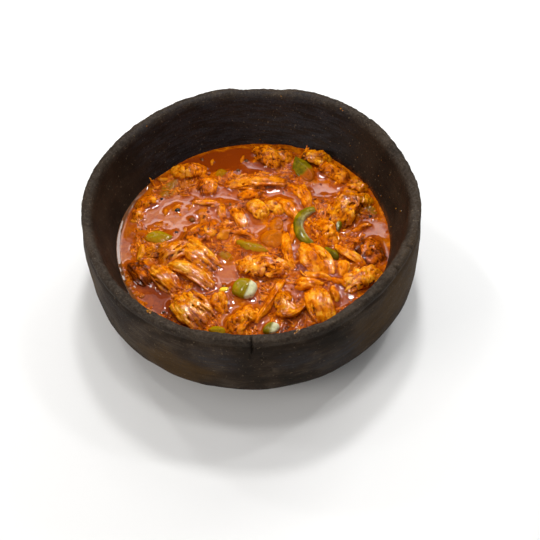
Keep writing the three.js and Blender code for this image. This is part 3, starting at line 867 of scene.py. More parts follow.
@dataclass
class Pot:
    """The round, hand-formed clay pot."""

    height: float = 84.0
    foot_radius: float = 60.0
    body_radius: float = 121.3
    turn_height: float = 36.5
    roundness: float = 2.4
    crease_radius: float = 118.2
    crease_below_rim: float = 7.2
    lip_radius: float = 120.2
    lip_inner_radius: float = 111.8
    floor_height: float = 11.0
    broth_radius: float = 100.5
    broth_floor_radius: float = 72.0
    columns: int = 470
    scar_columns: int = 11
    scar_reach: float = 0.02
    waves: tuple[Wave, ...] = (Wave(2, 0.5, 60), Wave(3, 0.45, 50), Wave(6, 0.8, 48))
    wave_heights: tuple[float, float] = (8.0, 66.0)
    front: Stretch = Stretch(-122, -62)
    front_lean: float = 2.0
    worn: Stretch = Stretch(74, 93)
    worn_drop: float = 2.4
    worn_inset: float = 1.2
    far_lift: float = 1.5
    ochre: tuple[Blotch, ...] = (Blotch(-44, 52, 16, 22), Blotch(-22, 56, 22, 30), Blotch(-118, 40, 14, 20),
                                 Blotch(60, 44, 30, 20), Blotch(-172, 50, 16, 18), Blotch(10, 40, 14, 22))
    slate: tuple[Blotch, ...] = (Blotch(-66, 44, 10, 16), Blotch(-80, 60, 7, 9), Blotch(-105, 62, 10, 12),
                                 Blotch(150, 50, 18, 20), Blotch(100, 50, 12, 18))
    cool_inside: Stretch = Stretch(45, 140)
    scars: tuple[Scar, ...] = (
        Scar((-92.8, 84.0), (-92.4, 74.0), 0.9, 2.0),
        Scar((-92.4, 75.0), (-93.4, 68.5), 0.5, 0.8),
        Scar((-89.8, 67.8), (-89.6, 66.6), 1.2, 0.9),
        Scar((-87.2, 54.6), (-86.8, 50.5), 1.0, 0.9),
        Scar((-26.5, 84.0), (-25.8, 80.0), 1.3, 1.5),
        Scar((-36.8, 84.0), (-37.6, 79.0), 0.8, 1.5),
        Scar((-77.0, 75.2), (-69.5, 74.6), 0.7, 0.9),
        Scar((-69.5, 74.6), (-56.5, 75.4), 0.6, 0.8),
        Scar((-68.5, 83.6), (-66.0, 78.0), 0.6, 0.7),
        Scar((148.0, 84.0), (149.5, 79.0), 0.9, 1.1),
        Scar((38.0, 83.8), (37.0, 76.0), 0.7, 0.9),
        Scar((-140.0, 82.0), (-141.0, 74.0), 0.6, 0.7),
    )

    def wave_at(self, angle: Array) -> Array:
        """How far the rim stands out from a circle in each direction."""
        lobes = sum(wave.size * np.cos(wave.lobes * (angle - math.radians(wave.phase)))
                    for wave in self.waves)
        return lobes + self.front_lean * self.front.share(angle)

    def wall_radius(self, angle: Array, height: float) -> Array:
        """The inner wall's radius near the broth's level.

        Args:
            angle: Directions in radians.
            height: The height at which it is measured.

        Returns:
            The radius in each direction.
        """
        slope = (self.bulge_radius() - self.broth_radius) / 14
        radius = self.broth_radius + (height - BROTH_LEVEL) * slope
        return radius + self.wave_at(angle) * smoothstep(height, *self.wave_heights)

    def bulge_radius(self) -> float:
        """The inner wall's radius half way between the lip and the broth."""
        return (self.lip_inner_radius + self.broth_radius) / 2 - 1

    def profile(self) -> Array:
        """The section's outline from the middle of the foot over the lip to the middle of the floor."""
        turn = np.linspace(0, math.pi / 2, 26)
        out = self.foot_radius + (self.body_radius - self.foot_radius) * np.sin(turn) ** (2 / self.roundness)
        up = self.turn_height * (1 - np.cos(turn) ** (2 / self.roundness))
        foot = np.stack([np.linspace(0, self.foot_radius, 12, endpoint=False), np.zeros(12)], axis=1)
        crease = self.height - self.crease_below_rim
        lip = [
            (self.body_radius, self.turn_height),
            (self.body_radius + 0.3, self.height - 26),
            (self.lip_radius + 0.5, crease - 3.0),
            (self.crease_radius + 1.5, crease),
            (self.lip_radius - 0.2, crease + 2.2),
            (self.lip_radius + 0.1, self.height - 2.2),
            (self.lip_radius - 0.8, self.height - 0.5),
            (self.lip_radius - 3.0, self.height),
            (self.lip_inner_radius + 2.4, self.height - 0.9),
            (self.lip_inner_radius, self.height - 5.5),
            (self.lip_inner_radius - 2.5, self.height - 16),
            (self.bulge_radius(), self.height - 29),
            (self.broth_radius, BROTH_LEVEL),
            (self.broth_radius - 4.5, self.floor_height + 18.9),
            (self.broth_radius - 12.5, self.floor_height + 9),
            (self.broth_floor_radius, self.floor_height + 2),
            (self.broth_floor_radius * 0.6, self.floor_height),
            (self.broth_floor_radius * 0.3, self.floor_height),
        ]
        upper = self.rounded(np.array(lip, float), 1.5)
        return np.concatenate([foot, np.stack([out, up], axis=1)[:-1], upper, [[0, self.floor_height]]])

    @staticmethod
    def rounded(corners: Array, step: float) -> Array:
        """A smooth line through corners.

        Args:
            corners: The points that the line goes through.
            step: About how far apart its points are.

        Returns:
            The line's points.
        """
        padded = np.concatenate([[2 * corners[0] - corners[1]], corners, [2 * corners[-1] - corners[-2]]])
        line = []
        for a, b, c, d in zip(padded, padded[1:], padded[2:], padded[3:]):
            count = max(2, int(np.hypot(*(c - b)) / step))
            t = np.linspace(0, 1, count, endpoint=False)[:, None]
            soft = 0.5 * ((2 * b) + (c - a) * t + (2 * a - 5 * b + 4 * c - d) * t**2
                          + (3 * b - a - 3 * c + d) * t**3)
            line.append(soft)
        return np.concatenate([*line, corners[-1:]])

    def build(self, material: Material) -> SceneObject:
        """Turns the section round the axis, shapes it by hand and adds its scars.

        Args:
            material: The clay.

        Returns:
            The pot.
        """
        section = self.profile()
        angles = np.linspace(-math.pi, math.pi, self.columns, endpoint=False)
        spread = np.linspace(-self.scar_reach, self.scar_reach, self.scar_columns)
        fine = [math.radians(scar.start[0]) + spread for scar in self.scars
                if abs(scar.start[0] - scar.end[0]) < 4]
        angles = np.unique(np.concatenate([angles, *fine]))
        rows = section[1:-1]
        radius = np.repeat(rows[:, 0][:, None], len(angles), axis=1)
        height = np.repeat(rows[:, 1][:, None], len(angles), axis=1)
        turn = np.repeat(angles[None], len(rows), axis=0)
        order = np.repeat(np.arange(len(rows))[:, None], len(angles), axis=1)
        top_row = int(np.argmax(rows[:, 1]))
        outside = (order <= top_row).astype(float)
        radius, height = self.by_hand(radius, height, turn, outside)
        poles = [[0, 0, 0], [0, 0, self.floor_height]]
        points = np.concatenate([in_space(radius, turn, height), poles])
        form = Form(points, ring_faces(len(rows), len(angles)))
        form.notes = self.notes(radius, height, turn, outside)
        form.outward()
        return add_piece("hand_formed_pot", form.mesh("hand_formed_pot"), material, ["pot"])

    def by_hand(self, radius: Array, height: Array, turn: Array, outside: Array) -> tuple[Array, Array]:
        """Gives the turned section its unevenness.

        Args:
            radius: Each point's distance from the axis.
            height: Each point's height.
            turn: Each point's direction in radians.
            outside: 1 on the outer side and 0 on the inner side.

        Returns:
            The new radius and height.
        """
        at_lip = smoothstep(height, self.height - self.crease_below_rim, self.height - 2)
        worn = self.worn.share(turn) * at_lip * 0.6
        place = in_space(radius, turn, height)
        lumps = 0.45 * NOISE.at(place, 21) + 0.22 * NOISE.at(place, 8) + 0.1 * NOISE.layered(place, 2.6)
        lumps = lumps.reshape(radius.shape)
        bands = (0.16 * NOISE.at(place * [0.25, 0.25, 1.6], 5)).reshape(radius.shape)
        shaped = radius + self.wave_at(turn) * smoothstep(height, *self.wave_heights)
        shaped = shaped - worn * outside * self.worn_inset
        side = np.where(outside > 0, 1, -1)
        away = smoothstep(height, 1.0, 9.0)
        shaped = shaped + (lumps + bands * outside) * away * side
        wobble = 0.2 * np.sin(turn * 5 + 1) + 0.2 * np.sin(turn * 11 + 2.2) + 0.16 * np.sin(turn * 23)
        chips = (0.38 * NOISE.layered(place, 3.4) + 0.16 * NOISE.at(place, 1.2)).reshape(radius.shape)
        chips = chips * smoothstep(height, self.height - 7, self.height - 2.5)
        far = self.far_lift * smoothstep(np.sin(turn), 0.0, 0.7)
        higher = height - worn * self.worn_drop + (wobble + far) * at_lip + chips
        shaped = shaped + chips * side
        for scar in self.scars:
            shaped, higher = self.scarred(scar, shaped, higher, turn, side)
        return shaped, np.maximum(higher, 0)

    def scarred(self, scar: Scar, radius: Array, height: Array, turn: Array,
                side: Array) -> tuple[Array, Array]:
        """Cuts one scar into the wall.

        Args:
            scar: The crack or pit.
            radius: Each point's distance from the axis.
            height: Each point's height.
            turn: Each point's direction in radians.
            side: 1 on the outer side and -1 on the inner side.

        Returns:
            The new radius and height.
        """
        start = np.array([math.radians(scar.start[0]) * self.lip_radius, scar.start[1]])
        end = np.array([math.radians(scar.end[0]) * self.lip_radius, scar.end[1]])
        across = turn * self.lip_radius
        line = end - start
        part = np.clip(((across - start[0]) * line[0] + (height - start[1]) * line[1]) / (line @ line), 0, 1)
        bend = 0.5 * np.sin(height * 1.7 + scar.start[0])
        gap = np.hypot(across - start[0] - part * line[0] + bend, height - start[1] - part * line[1])
        cut = scar.depth * np.exp(-((gap / scar.width) ** 2)) * (height > self.floor_height + 25)
        on_top = smoothstep(height, self.height - 3, self.height - 0.5)
        reach = np.where(side > 0, 1.0, 0.5 * on_top)
        return radius - cut * reach * (1 - 0.6 * on_top), height - cut * on_top * reach

    def notes(self, radius: Array, height: Array, turn: Array, outside: Array) -> dict[str, Array]:
        """What the clay's finish reads at each point.

        Args:
            radius: Each point's distance from the axis.
            height: Each point's height.
            turn: Each point's direction in radians.
            outside: 1 on the outer side and 0 on the inner side.

        Returns:
            The notes lip, inside, stain, soot, ochre and slate.
        """
        place = in_space(radius, turn, height)
        ragged = NOISE.layered(place, 9).reshape(height.shape)
        lip = smoothstep(height + 1.6 * ragged, self.height - 4.4, self.height - 1.2)
        below = smoothstep(height + 2 * ragged, self.height - 9, self.height - 4)
        lip = np.maximum(lip, 0.45 * outside * below)
        inside = (1 - outside) * (1 - smoothstep(height, self.height - 6, self.height - 1) * 0.8)
        right = smoothstep(np.cos(turn + 0.15), 0.2, 0.9)
        above = height - BROTH_LEVEL + 1.4 * NOISE.at(place, 4).reshape(height.shape)
        stain = (1 - outside) * (1 - smoothstep(above, 0.5, 1.6 + 4.5 * right)) * (0.15 + 0.7 * right)
        soot = outside * (1 - smoothstep(height + 6 * ragged, 4, 26))
        broad = NOISE.layered(place, 16).reshape(height.shape)
        ochre = outside * sum(patch.share(turn, height, broad) for patch in self.ochre)
        slate = outside * sum(patch.share(turn, height, broad) for patch in self.slate)
        slate = slate + 1.3 * (1 - outside) * self.cool_inside.share(turn)
        poles = [0.0, 0.0]
        found = {"lip": lip, "inside": inside, "stain": stain, "soot": soot, "ochre": ochre, "slate": slate}
        return {name: np.concatenate([values.ravel(), poles]) for name, values in found.items()}


# ---------- the food


@dataclass
class Lying:
    """A long piece that lies in the broth.

    x and y are its middle, rise its height above the broth, heading its direction counter-clockwise
    from +X in degrees, and turn how far it bends from end to end.
    """

    x: float
    y: float
    length: float
    width: float
    rise: float
    heading: float
    turn: float = 0.0

    def place(self, along: Array, across: Array, up: Array) -> Array:
        """Finds where points given along, across and above the piece lie in the pot.

        Args:
            along: Distances from the piece's middle along it.
            across: Distances to its left.
            up: Heights above the broth's level.

        Returns:
            One row of X, Y and Z for each point.
        """
        bend = math.radians(self.turn) / self.length
        if abs(bend) < 1e-6:
            x, y = along, across
        else:
            sagitta = (1 - math.cos(bend * self.length / 2)) / bend
            x = np.sin(bend * along) / bend - across * np.sin(bend * along)
            y = (1 - np.cos(bend * along)) / bend + across * np.cos(bend * along) - sagitta / 2
        heading = math.radians(self.heading)
        east = self.x + x * math.cos(heading) - y * math.sin(heading)
        north = self.y + x * math.sin(heading) + y * math.cos(heading)
        return np.stack([east, north, BROTH_LEVEL + up + 0 * east], axis=-1)


@dataclass
class Strand:
    """One shred or fibre: its middle line, its radius and how flat it is."""

    path: Array
    radius: Array
    flat: float = 0.9

    STEP = 3.7

    def form(self, sides: int = 8) -> Form:
        """The strand as a closed form."""
        return tube(self.path, self.radius, self.flat, sides)

    def lengths(self) -> Array:
        """How far along the middle line each of its points lies."""
        steps = np.linalg.norm(np.diff(self.path, axis=0), axis=1)
        return np.concatenate([[0], np.cumsum(steps)])

    def noted(self, number: int, tone: float, sides: int = 8) -> Form:
        """The strand as a closed form with the notes that the meat's finish reads.

        Args:
            number: The strand's number.
            tone: How light it is, from -1 to 1.
            sides: How many corners its section has.

        Returns:
            The form.
        """
        form = self.form(sides)
        count = len(form.points)
        along = np.repeat(self.lengths(), sides)
        around = np.tile(np.linspace(0, 2 * math.pi, sides, endpoint=False), len(self.path))
        mark = np.full(len(along), number * self.STEP)
        grain = np.stack([along, around * self.radius.max(), mark], axis=1)
        form.notes["grain"] = np.concatenate([grain, grain[[0, -1]]])
        form.notes["tone"] = np.full(count, tone)
        form.notes["hollow"] = np.zeros(count)
        form.notes["wet"] = np.full(count, 0.15)
        form.notes["height"] = np.clip((form.points[:, 2] - BROTH_LEVEL) / 3, 0, 0.5)
        return form


@dataclass
class Bundle(Lying):
    """Shreds of meat side by side, or a single one."""

    shreds: int = 3
    fray: float = 0.09
    ragged: float = 0.24
    end_drop: float = 0.72
    end_slim: float = 0.34
    side_drop: float = 0.8
    uneven: float = 0.12

    def draw(self, seed: float) -> float:
        """A number from 0 to 1 that looks random and is always the same for one seed."""
        grain = self.x * 3.1 + self.y * 7.7 + seed
        return (math.sin(grain * 12.9898) * 43758.5453) % 1.0

    def crown(self, end: Array, side: Array) -> Array:
        """The height of the bundle's top, where end and side go from -1 to 1."""
        end, side = np.clip(end, -1, 1), np.clip(side, -1, 1)
        lengthwise = 1 - self.end_drop * np.abs(end) ** 2.2
        spot = np.stack([end * self.length / 2 + self.x, side * self.width / 2 + self.y, 0 * end], axis=-1)
        lumps = 1 + self.uneven * NOISE.at(spot.reshape(-1, 3), 6.5).reshape(end.shape)
        return self.rise * lumps * lengthwise * np.sqrt(np.maximum(1 - self.side_drop * side**2, 0.05))

    def half_width(self, end: Array) -> Array:
        """Half of the bundle's width at places along it."""
        return self.width / 2 * (1 - self.end_slim * np.abs(np.clip(end, -1, 1)) ** 2.5)

    def core(self) -> Strand:
        """The mass under the shreds."""
        end = np.linspace(-0.96, 0.96, 15)
        top = 0.78 * self.crown(end, 0 * end)
        tall = (top + SINK * 0.75) / 2
        wide = self.half_width(end) * 0.9
        path = self.place(end * self.length / 2, 0 * end, top - tall)
        flat = float((tall / wide)[4:-4].mean())
        return Strand(path, wide * (1 - 0.6 * np.abs(end) ** 6), flat)

    def crests(self, rng: Random, finer: float) -> list[Strand]:
        """The shreds that lie side by side.

        Args:
            rng: The random numbers.
            finer: How many times more there are than the solid has crests.

        Returns:
            The strands.
        """
        found = []
        count = max(2, round(self.shreds * finer))
        for index in range(count):
            thick = self.width / 2 / count * rng.uniform(0.95, 1.3)
            side = 1 - (2 * index + 1) / count + rng.uniform(-0.35, 0.35) / count
            reach = np.array([1 + self.fray - self.draw(2 * index + end) * self.ragged for end in (-1, 1)])
            end = np.linspace(-1, 1, 19)
            along = np.where(end < 0, end * reach[0], end * reach[1]) * self.length / 2
            wander = 0.35 * thick * np.sin(end * rng.uniform(2, 5) + rng.uniform(0, 6))
            across = side * self.half_width(end) * 0.93 + wander
            taller = 1 + rng.uniform(-0.22, 0.16) * (1 - 0.4 * np.abs(end))
            top = np.maximum(self.crown(end, side + 0 * end) * taller, 0.3)
            top = top + 0.06 * self.rise * np.sin(end * rng.uniform(3, 7) + rng.uniform(0, 6))
            radius = thick * (1 - 0.55 * np.abs(end) ** 3) * (1 + 0.12 * np.sin(end * 8 + rng.uniform(0, 6)))
            found.append(Strand(self.place(along, across, top - radius * 0.9), radius, 0.95))
        return found

    def fibres(self, rng: Random, layer: Layer) -> list[Strand]:
        """Finer strands that lie on the bundle.

        Args:
            rng: The random numbers.
            layer: How many there are and how they lie.

        Returns:
            The strands.
        """
        found = []
        short, long = layer.long
        for _ in range(round(self.length * self.width / layer.area)):
            half = min(rng.uniform(short, long or self.length * 0.8) / 2, self.length * 0.46)
            middle = rng.uniform(-1.0, 1.0) * (self.length / 2 - half * 0.75)
            heading = math.radians(rng.normal(0, layer.stray))
            step = np.linspace(-1, 1, 9)
            curl = rng.uniform(-0.16, 0.16) * half * step * step
            along = middle + half * step * math.cos(heading)
            beside = rng.uniform(-0.92, 0.92) * self.half_width(np.array([middle * 2 / self.length]))[0]
            across = beside + half * step * math.sin(heading) + curl
            end = along * 2 / self.length
            wide = self.half_width(end)
            across = np.clip(across, -wide * 1.02, wide * 1.02)
            radius = rng.uniform(*layer.slim) * (1 - 0.6 * np.abs(step) ** 3)
            rising = rng.uniform(-0.2, layer.lift) + 0.5 * rng.uniform(-1, 1) * step
            thin = layer.flat * rng.uniform(0.8, 1.2)
            top = np.maximum(self.crown(end, across / wide), 0.25) + rising * radius * thin
            found.append(Strand(self.place(along, across, top - radius * thin * 0.6), radius, thin))
        return found

    def tips(self, rng: Random, each: int) -> list[Strand]:
        """Thin fibres that stick out of the bundle's two ends.

        Args:
            rng: The random numbers.
            each: How many an end has.

        Returns:
            The fibres.
        """
        found = []
        for sign in (-1, 1):
            for _ in range(each):
                side = rng.uniform(-0.95, 0.95)
                reach = rng.uniform(0.08, 0.22) * self.length / 2 + 0.8
                step = np.linspace(0, 1, 6)
                along = sign * (self.length / 2 * 0.76 + step * reach)
                across = side * self.half_width(np.array([0.8]))[0] + rng.uniform(-1.8, 1.8) * step
                top = self.crown(np.array([0.8]), np.array([side]))[0] * (1 - 0.8 * step) + 0.4
                radius = rng.uniform(0.5, 0.9) * (1 - 0.6 * step**2)
                found.append(Strand(self.place(along, across, top - radius * 0.5), radius, 0.9))
        return found

    def edge_bits(self, rng: Random, count: int) -> list[Strand]:
        """Short bits that break up the bundle's outline at the broth's level.

        Args:
            rng: The random numbers.
            count: How many there are.

        Returns:
            The bits.
        """
        found = []
        for _ in range(count):
            turn = rng.uniform(0, 2 * math.pi)
            end, side = math.cos(turn), math.sin(turn)
            along = end * self.length / 2 * rng.uniform(0.85, 1.02)
            across = side * self.half_width(np.array([end]))[0] * rng.uniform(0.85, 1.05)
            step = np.linspace(-1, 1, 5)
            aim = rng.uniform(0, math.pi)
            half = rng.uniform(0.7, 2.2)
            radius = rng.uniform(0.6, 1.3) * (1 - 0.5 * step**2)
            up = rng.uniform(0.1, 1.2) + 0.25 * half * rng.uniform(-1, 1) * step - radius * 0.5
            path = self.place(along + half * step * math.cos(aim), across + half * step * math.sin(aim), up)
            found.append(Strand(path, radius, rng.uniform(0.6, 1.0)))
        return found


def shred(row: Bundle, rng: Random) -> list[Strand]:
    """A single shred and the fibres that part from it.

    Args:
        row: The shred's place and size.
        rng: The random numbers.

    Returns:
        Its strands.
    """
    end = np.linspace(-1, 1, 25)
    radius = row.width / 2 * (1 - 0.45 * np.abs(end) ** 3)
    radius *= 1 + 0.08 * np.sin(end * 9 + rng.uniform(0, 6))
    arch = (row.rise - row.width * 0.45) * (1 - 0.8 * end * end)
    found = [Strand(row.place(end * row.length / 2, 0.12 * row.width * np.sin(end * 5), arch), radius * 0.86)]
    for _ in range(7):
        half = rng.uniform(0.3, 0.75)
        step = np.linspace(-1, 1, 11)
        at = rng.uniform(-1, 1) * (1.06 - half) + half * step
        turn = rng.uniform(0, 2 * math.pi) + rng.uniform(-0.8, 0.8) * step
        thick = row.width / 2 * (1 - 0.45 * np.abs(np.clip(at, -1, 1)) ** 3)
        slim = row.width * rng.uniform(0.13, 0.22) * (1 - 0.6 * np.abs(step) ** 3)
        out = thick * 0.8
        middle = (row.rise - row.width * 0.45) * (1 - 0.8 * at * at)
        path = row.place(at * row.length / 2, out * np.cos(turn), middle + out * 0.9 * np.sin(turn))
        found.append(Strand(path, slim))
    return found


@dataclass
class Meat:
    """One piece of shredded meat, of one or more bundles."""

    name: str
    rows: list[Bundle]
    texture: Texture
    tone: float
    wet: float = 0.0
    gold: float = 0.0

    def strands(self) -> tuple[list[Strand], list[Strand]]:
        """The mass underneath and the strands that show, each as a list."""
        rng = np.random.default_rng(hash_name(self.name))
        surface = SURFACES[self.texture]
        under, shown = [], []
        for row in self.rows:
            if row.shreds == 1:
                shown += shred(row, rng)
                continue
            row.uneven = surface.uneven
            under.append(row.core())
            shown += row.crests(rng, surface.crests)
            for layer in surface.layers:
                shown += row.fibres(rng, layer)
            if surface.tips is not None:
                shown += row.tips(rng, row.shreds + surface.tips)
            shown += row.edge_bits(rng, round((row.length + row.width) / surface.edge))
        return under, shown

    def build(self, material: Material) -> SceneObject:
        """Fuses the strands, roughens their skin and notes what the finish reads.

        Args:
            material: The meat's finish.

        Returns:
            The piece.
        """
        under, shown = self.strands()
        form = fused(joined([strand.form() for strand in under + shown]), VOXEL)
        edges = form.edges()
        form.points = relaxed(form.points, edges, SURFACES[self.texture].softened)
        grain = self.grain(form.points, shown)
        form.push(self.ridges(form.points, grain))
        form.notes = food_notes(form, edges, self.tone + 0.75 * NOISE.at(grain[:, [2, 2, 2]], 1.0))
        form.notes["grain"] = grain
        dry = 0.25 - 0.55 * self.wet
        form.notes["wet"] = (0.4 + 0.6 * self.wet) * smoothstep(NOISE.at(form.points, 3.6), dry, dry + 0.2)
        form.notes["gold"] = np.full(len(form.points), self.gold)
        return add_piece("shredded_" + self.name, form.mesh(self.name), material, [self.name])

    @staticmethod
    def grain(points: Array, strands: list[Strand]) -> Array:
        """Reads how the fibres run: for each point the distance along, and round, its nearest strand.

        Args:
            points: The skin's points.
            strands: The strands that show.

        Returns:
            For each point the distance along, the distance round and a number for the strand.
        """
        best = np.full(len(points), np.inf)
        found = np.zeros((len(points), 3))
        for number, strand in enumerate(strands):
            length = strand.lengths()
            apart = points[:, None] - strand.path[None]
            gap = np.linalg.norm(apart, axis=2) - strand.radius[None]
            nearest = gap.argmin(axis=1)
            closer = gap[np.arange(len(points)), nearest] < best
            which = nearest[closer]
            best[closer] = gap[closer, which]
            tangent = np.gradient(strand.path, axis=0)
            tangent /= np.linalg.norm(tangent, axis=1, keepdims=True)
            side = np.cross(tangent, [0, 0, 1.0])
            offset = apart[closer, which]
            sideways = np.einsum("ij,ij->i", offset, side[which])
            forward = np.einsum("ij,ij->i", offset, tangent[which])
            round_it = np.arctan2(offset[:, 2], sideways) * strand.radius.max()
            mark = np.full(len(which), number * strand.STEP)
            found[closer] = np.stack([length[which] + forward, round_it, mark], axis=1)
        return found

    def ridges(self, points: Array, grain: Array) -> Array:
        """How far each point of the skin stands out: fibres along the strands, and lumps."""
        stretched = grain * [0.16, 1.0, 1.0]
        fibres = 0.13 * NOISE.at(stretched, 1.1) + 0.04 * NOISE.at(stretched + 40, 0.6)
        surface = SURFACES[self.texture]
        cracks = surface.torn * np.exp(-((NOISE.at(points + 90, 4.3) / 0.1) ** 2))
        return surface.fine * fibres + surface.lumps * NOISE.layered(points, 3.2, 2) - cracks


def hash_name(name: str) -> int:
    """A number that is always the same for one name."""
    return sum((index + 1) * ord(letter) for index, letter in enumerate(name))


def food_notes(form: Form, edges: Array, tone: Array) -> dict[str, Array]:
    """Notes what the finishes of food read.

    Args:
        form: The piece's skin.
        edges: Its pairs of neighbours.
        tone: How light each point is, from -1 to 1.

    Returns:
        The notes tone, hollow and height.
    """
    normals = form.normals()
    # hollow: how far each point lies sunk below its neighbours, which the finishes darken, as sauce lying
    # there and as painted shade.
    hollow = np.zeros(len(form.points))
    for rounds, depth in ((4, 0.22), (14, 0.6)):
        sunk = np.einsum("ij,ij->i", relaxed(form.points, edges, rounds) - form.points, normals)
        hollow = np.maximum(hollow, smoothstep(sunk, 0.02, depth))
    height = np.clip((form.points[:, 2] - BROTH_LEVEL) / 7, 0, 1)
    return {"tone": tone, "hollow": hollow, "height": height}


@dataclass
class Slice(Lying):
    """A slice or dice of vegetable: a domed top, round or pointed at its ends."""

    name: str = ""
    point: float = 0.0
    tip: int = 0
    cut: Triple | None = None
    lean: float = 0.1
    ridge: float = 0.0
    SLIM = 0.55
    DOME = ((1.0, 0.15), (0.985, 0.42), (0.92, 0.68), (0.8, 0.83), (0.6, 0.92), (0.3, 0.98), (0.0, 1.0))

    def form(self) -> Form:
        """The slice's plain form."""
        sides = 56
        section = np.array([(0.0, -1.0), (0.9, -1.0), (1.0, -0.7), *self.DOME], float)
        line = Pot.rounded(section * [self.width / 2, 4.0], 0.35) / [self.width / 2, 4.0]
        line = line[1:-1]
        turn = np.linspace(0, 2 * math.pi, sides, endpoint=False)
        x = line[:, 0][:, None] * np.cos(turn)[None]
        y = line[:, 0][:, None] * np.sin(turn)[None]
        share = np.where(x * self.tip < 0, 0.25, 1.2) if self.tip else np.ones_like(x)
        slim = 1 - self.point * self.SLIM * share * np.abs(x) ** 1.6
        blunt = 1 - 0.12 * y * y * (x * self.tip < 0)
        z = np.repeat(line[:, 1][:, None], sides, axis=1)
        up = np.where(z > 0, z * self.rise, z * SINK * 0.8)
        outline = np.stack([1.3 * np.cos(turn) + self.x, 1.3 * np.sin(turn) + self.y, 0 * turn], axis=1)
        uneven = 1 + 0.07 * NOISE.at(outline, 0.9)[None]
        fold = np.abs(y - 0.25 * np.sin(x * 2)) * np.clip(z, 0, 1)
        up = up - self.ridge * self.rise * fold
        points = self.place(x * blunt * uneven * self.length / 2, y * slim * uneven * self.width / 2, up)
        points[..., 2] += self.lean * (points[..., 1] - self.y) * np.clip(z, 0, 1)
        points = points.reshape(-1, 3)
        ends = self.place(np.zeros(2), np.zeros(2), np.array([-SINK * 0.8, self.rise]))
        return Form(np.concatenate([points, ends]), ring_faces(len(line), sides)).outward()


@dataclass
class Vegetable:
    """A piece of pepper or onion, of one or more slices."""

    name: str
    slices: list[Slice]
    slot: Slot
    wrinkle: float = 0.25
    tone: float = 0.0
    solid: bool = True
    smeared: Triple | None = None

    def build(self, material: Material) -> SceneObject:
        """Fuses the slices, wrinkles their skin and notes what the finish reads.

        Args:
            material: The vegetable's finish.

        Returns:
            The piece.
        """
        form = fused(joined([piece.form() for piece in self.slices]), SLICE_VOXEL)
        edges = form.edges()
        form.points = relaxed(form.points, edges, 3)
        lumps = self.wrinkle * NOISE.layered(form.points + hash_name(self.name), 5)
        form.push(lumps)
        form.notes = food_notes(form, edges, self.tone + 0.15 * NOISE.at(form.points, 6))
        rise = max(piece.rise for piece in self.slices)
        above = (form.points[:, 2] - BROTH_LEVEL) / rise
        form.notes["height"] = np.clip(above + 0.2 * (not self.solid), 0, 1)
        form.notes["cut"] = self.pale_side(form.points)
        if self.smeared is not None:
            smear = self.beyond(self.slices[0], self.smeared, form.points)
            form.notes["hollow"] = np.maximum(form.notes["hollow"], smear)
        nodes = [self.name] if self.solid else []
        return add_piece("cooked_" + self.name, form.mesh(self.name), material, nodes)

    def pale_side(self, points: Array) -> Array:
        """How much of the pale side shows at each point: the cut flesh, and on some peppers a painted
        highlight.
        """
        shown = np.zeros(len(points))
        for piece in self.slices:
            if piece.cut is not None:
                shown = np.maximum(shown, self.beyond(piece, piece.cut, points))
        return shown

    @staticmethod
    def beyond(piece: Slice, side: Triple, points: Array) -> Array:
        """How far points lie on one side of a slice.

        Args:
            piece: The slice.
            side: The side's direction in degrees, how far from the middle it starts and how softly.
            points: The points.

        Returns:
            Numbers from 0 to 1.
        """
        towards, reach, soft = side
        aim = math.radians(towards)
        away = (points[:, 0] - piece.x) * math.cos(aim) + (points[:, 1] - piece.y) * math.sin(aim)
        return smoothstep(away + 0.8 * NOISE.at(points, 3), reach, reach + soft)


@dataclass
class PepperRing(Lying):
    """Half a ring of green pepper: a bent strip with a pale, seedy inner side."""

    name: str = "pepper_ring"

    def build(self, material: Material) -> SceneObject:
        """Builds the strip.

        Args:
            material: The pepper's finish.

        Returns:
            The piece.
        """
        steps, sides = 110, 28
        end = np.linspace(-1, 1, steps)
        turn = np.linspace(0, 2 * math.pi, sides, endpoint=False)
        thick = self.width / 2 * (1 - 0.4 * np.abs(end) ** 4)
        arch = (self.rise - self.width * 0.45) * (1 - 0.6 * end * end)
        lean = 0.25 * np.sin(end * 3)
        across = thick[:, None] * np.sign(np.cos(turn)) * np.abs(np.cos(turn)) ** 0.75 * 1.15
        up = thick[:, None] * 0.95 * np.sign(np.sin(turn)) * np.abs(np.sin(turn)) ** 0.8
        points = self.place(np.repeat(end[:, None], sides, 1) * self.length / 2,
                            across + lean[:, None] * up * 0.3, arch[:, None] + up)
        inward = np.clip(across / self.width * 2, -1, 1).reshape(-1)
        points = points.reshape(-1, 3)
        tips = self.place(np.array([-1.02, 1.02]) * self.length / 2, np.zeros(2), arch[[0, -1]])
        form = Form(np.concatenate([points, tips]), ring_faces(steps, sides)).outward()
        edges = form.edges()
        bumps = np.concatenate([smoothstep(inward + 0.15 * NOISE.at(points, 3), 0.55, 0.8), [0, 0]])
        skin = 0.12 * NOISE.layered(form.points, 4) + bumps * 0.45 * NOISE.layered(form.points, 1.7)
        form.push(skin)
        form.notes = food_notes(form, edges, -0.65 + 0.4 * NOISE.at(form.points, 8))
        form.notes["hollow"] = 0 * bumps
        form.notes["height"] = np.clip((form.points[:, 2] - BROTH_LEVEL) / self.rise + 0.15, 0, 1)
        form.notes["cut"] = bumps * 0.3
        return add_piece("cooked_" + self.name, form.mesh(self.name), material, [self.name])


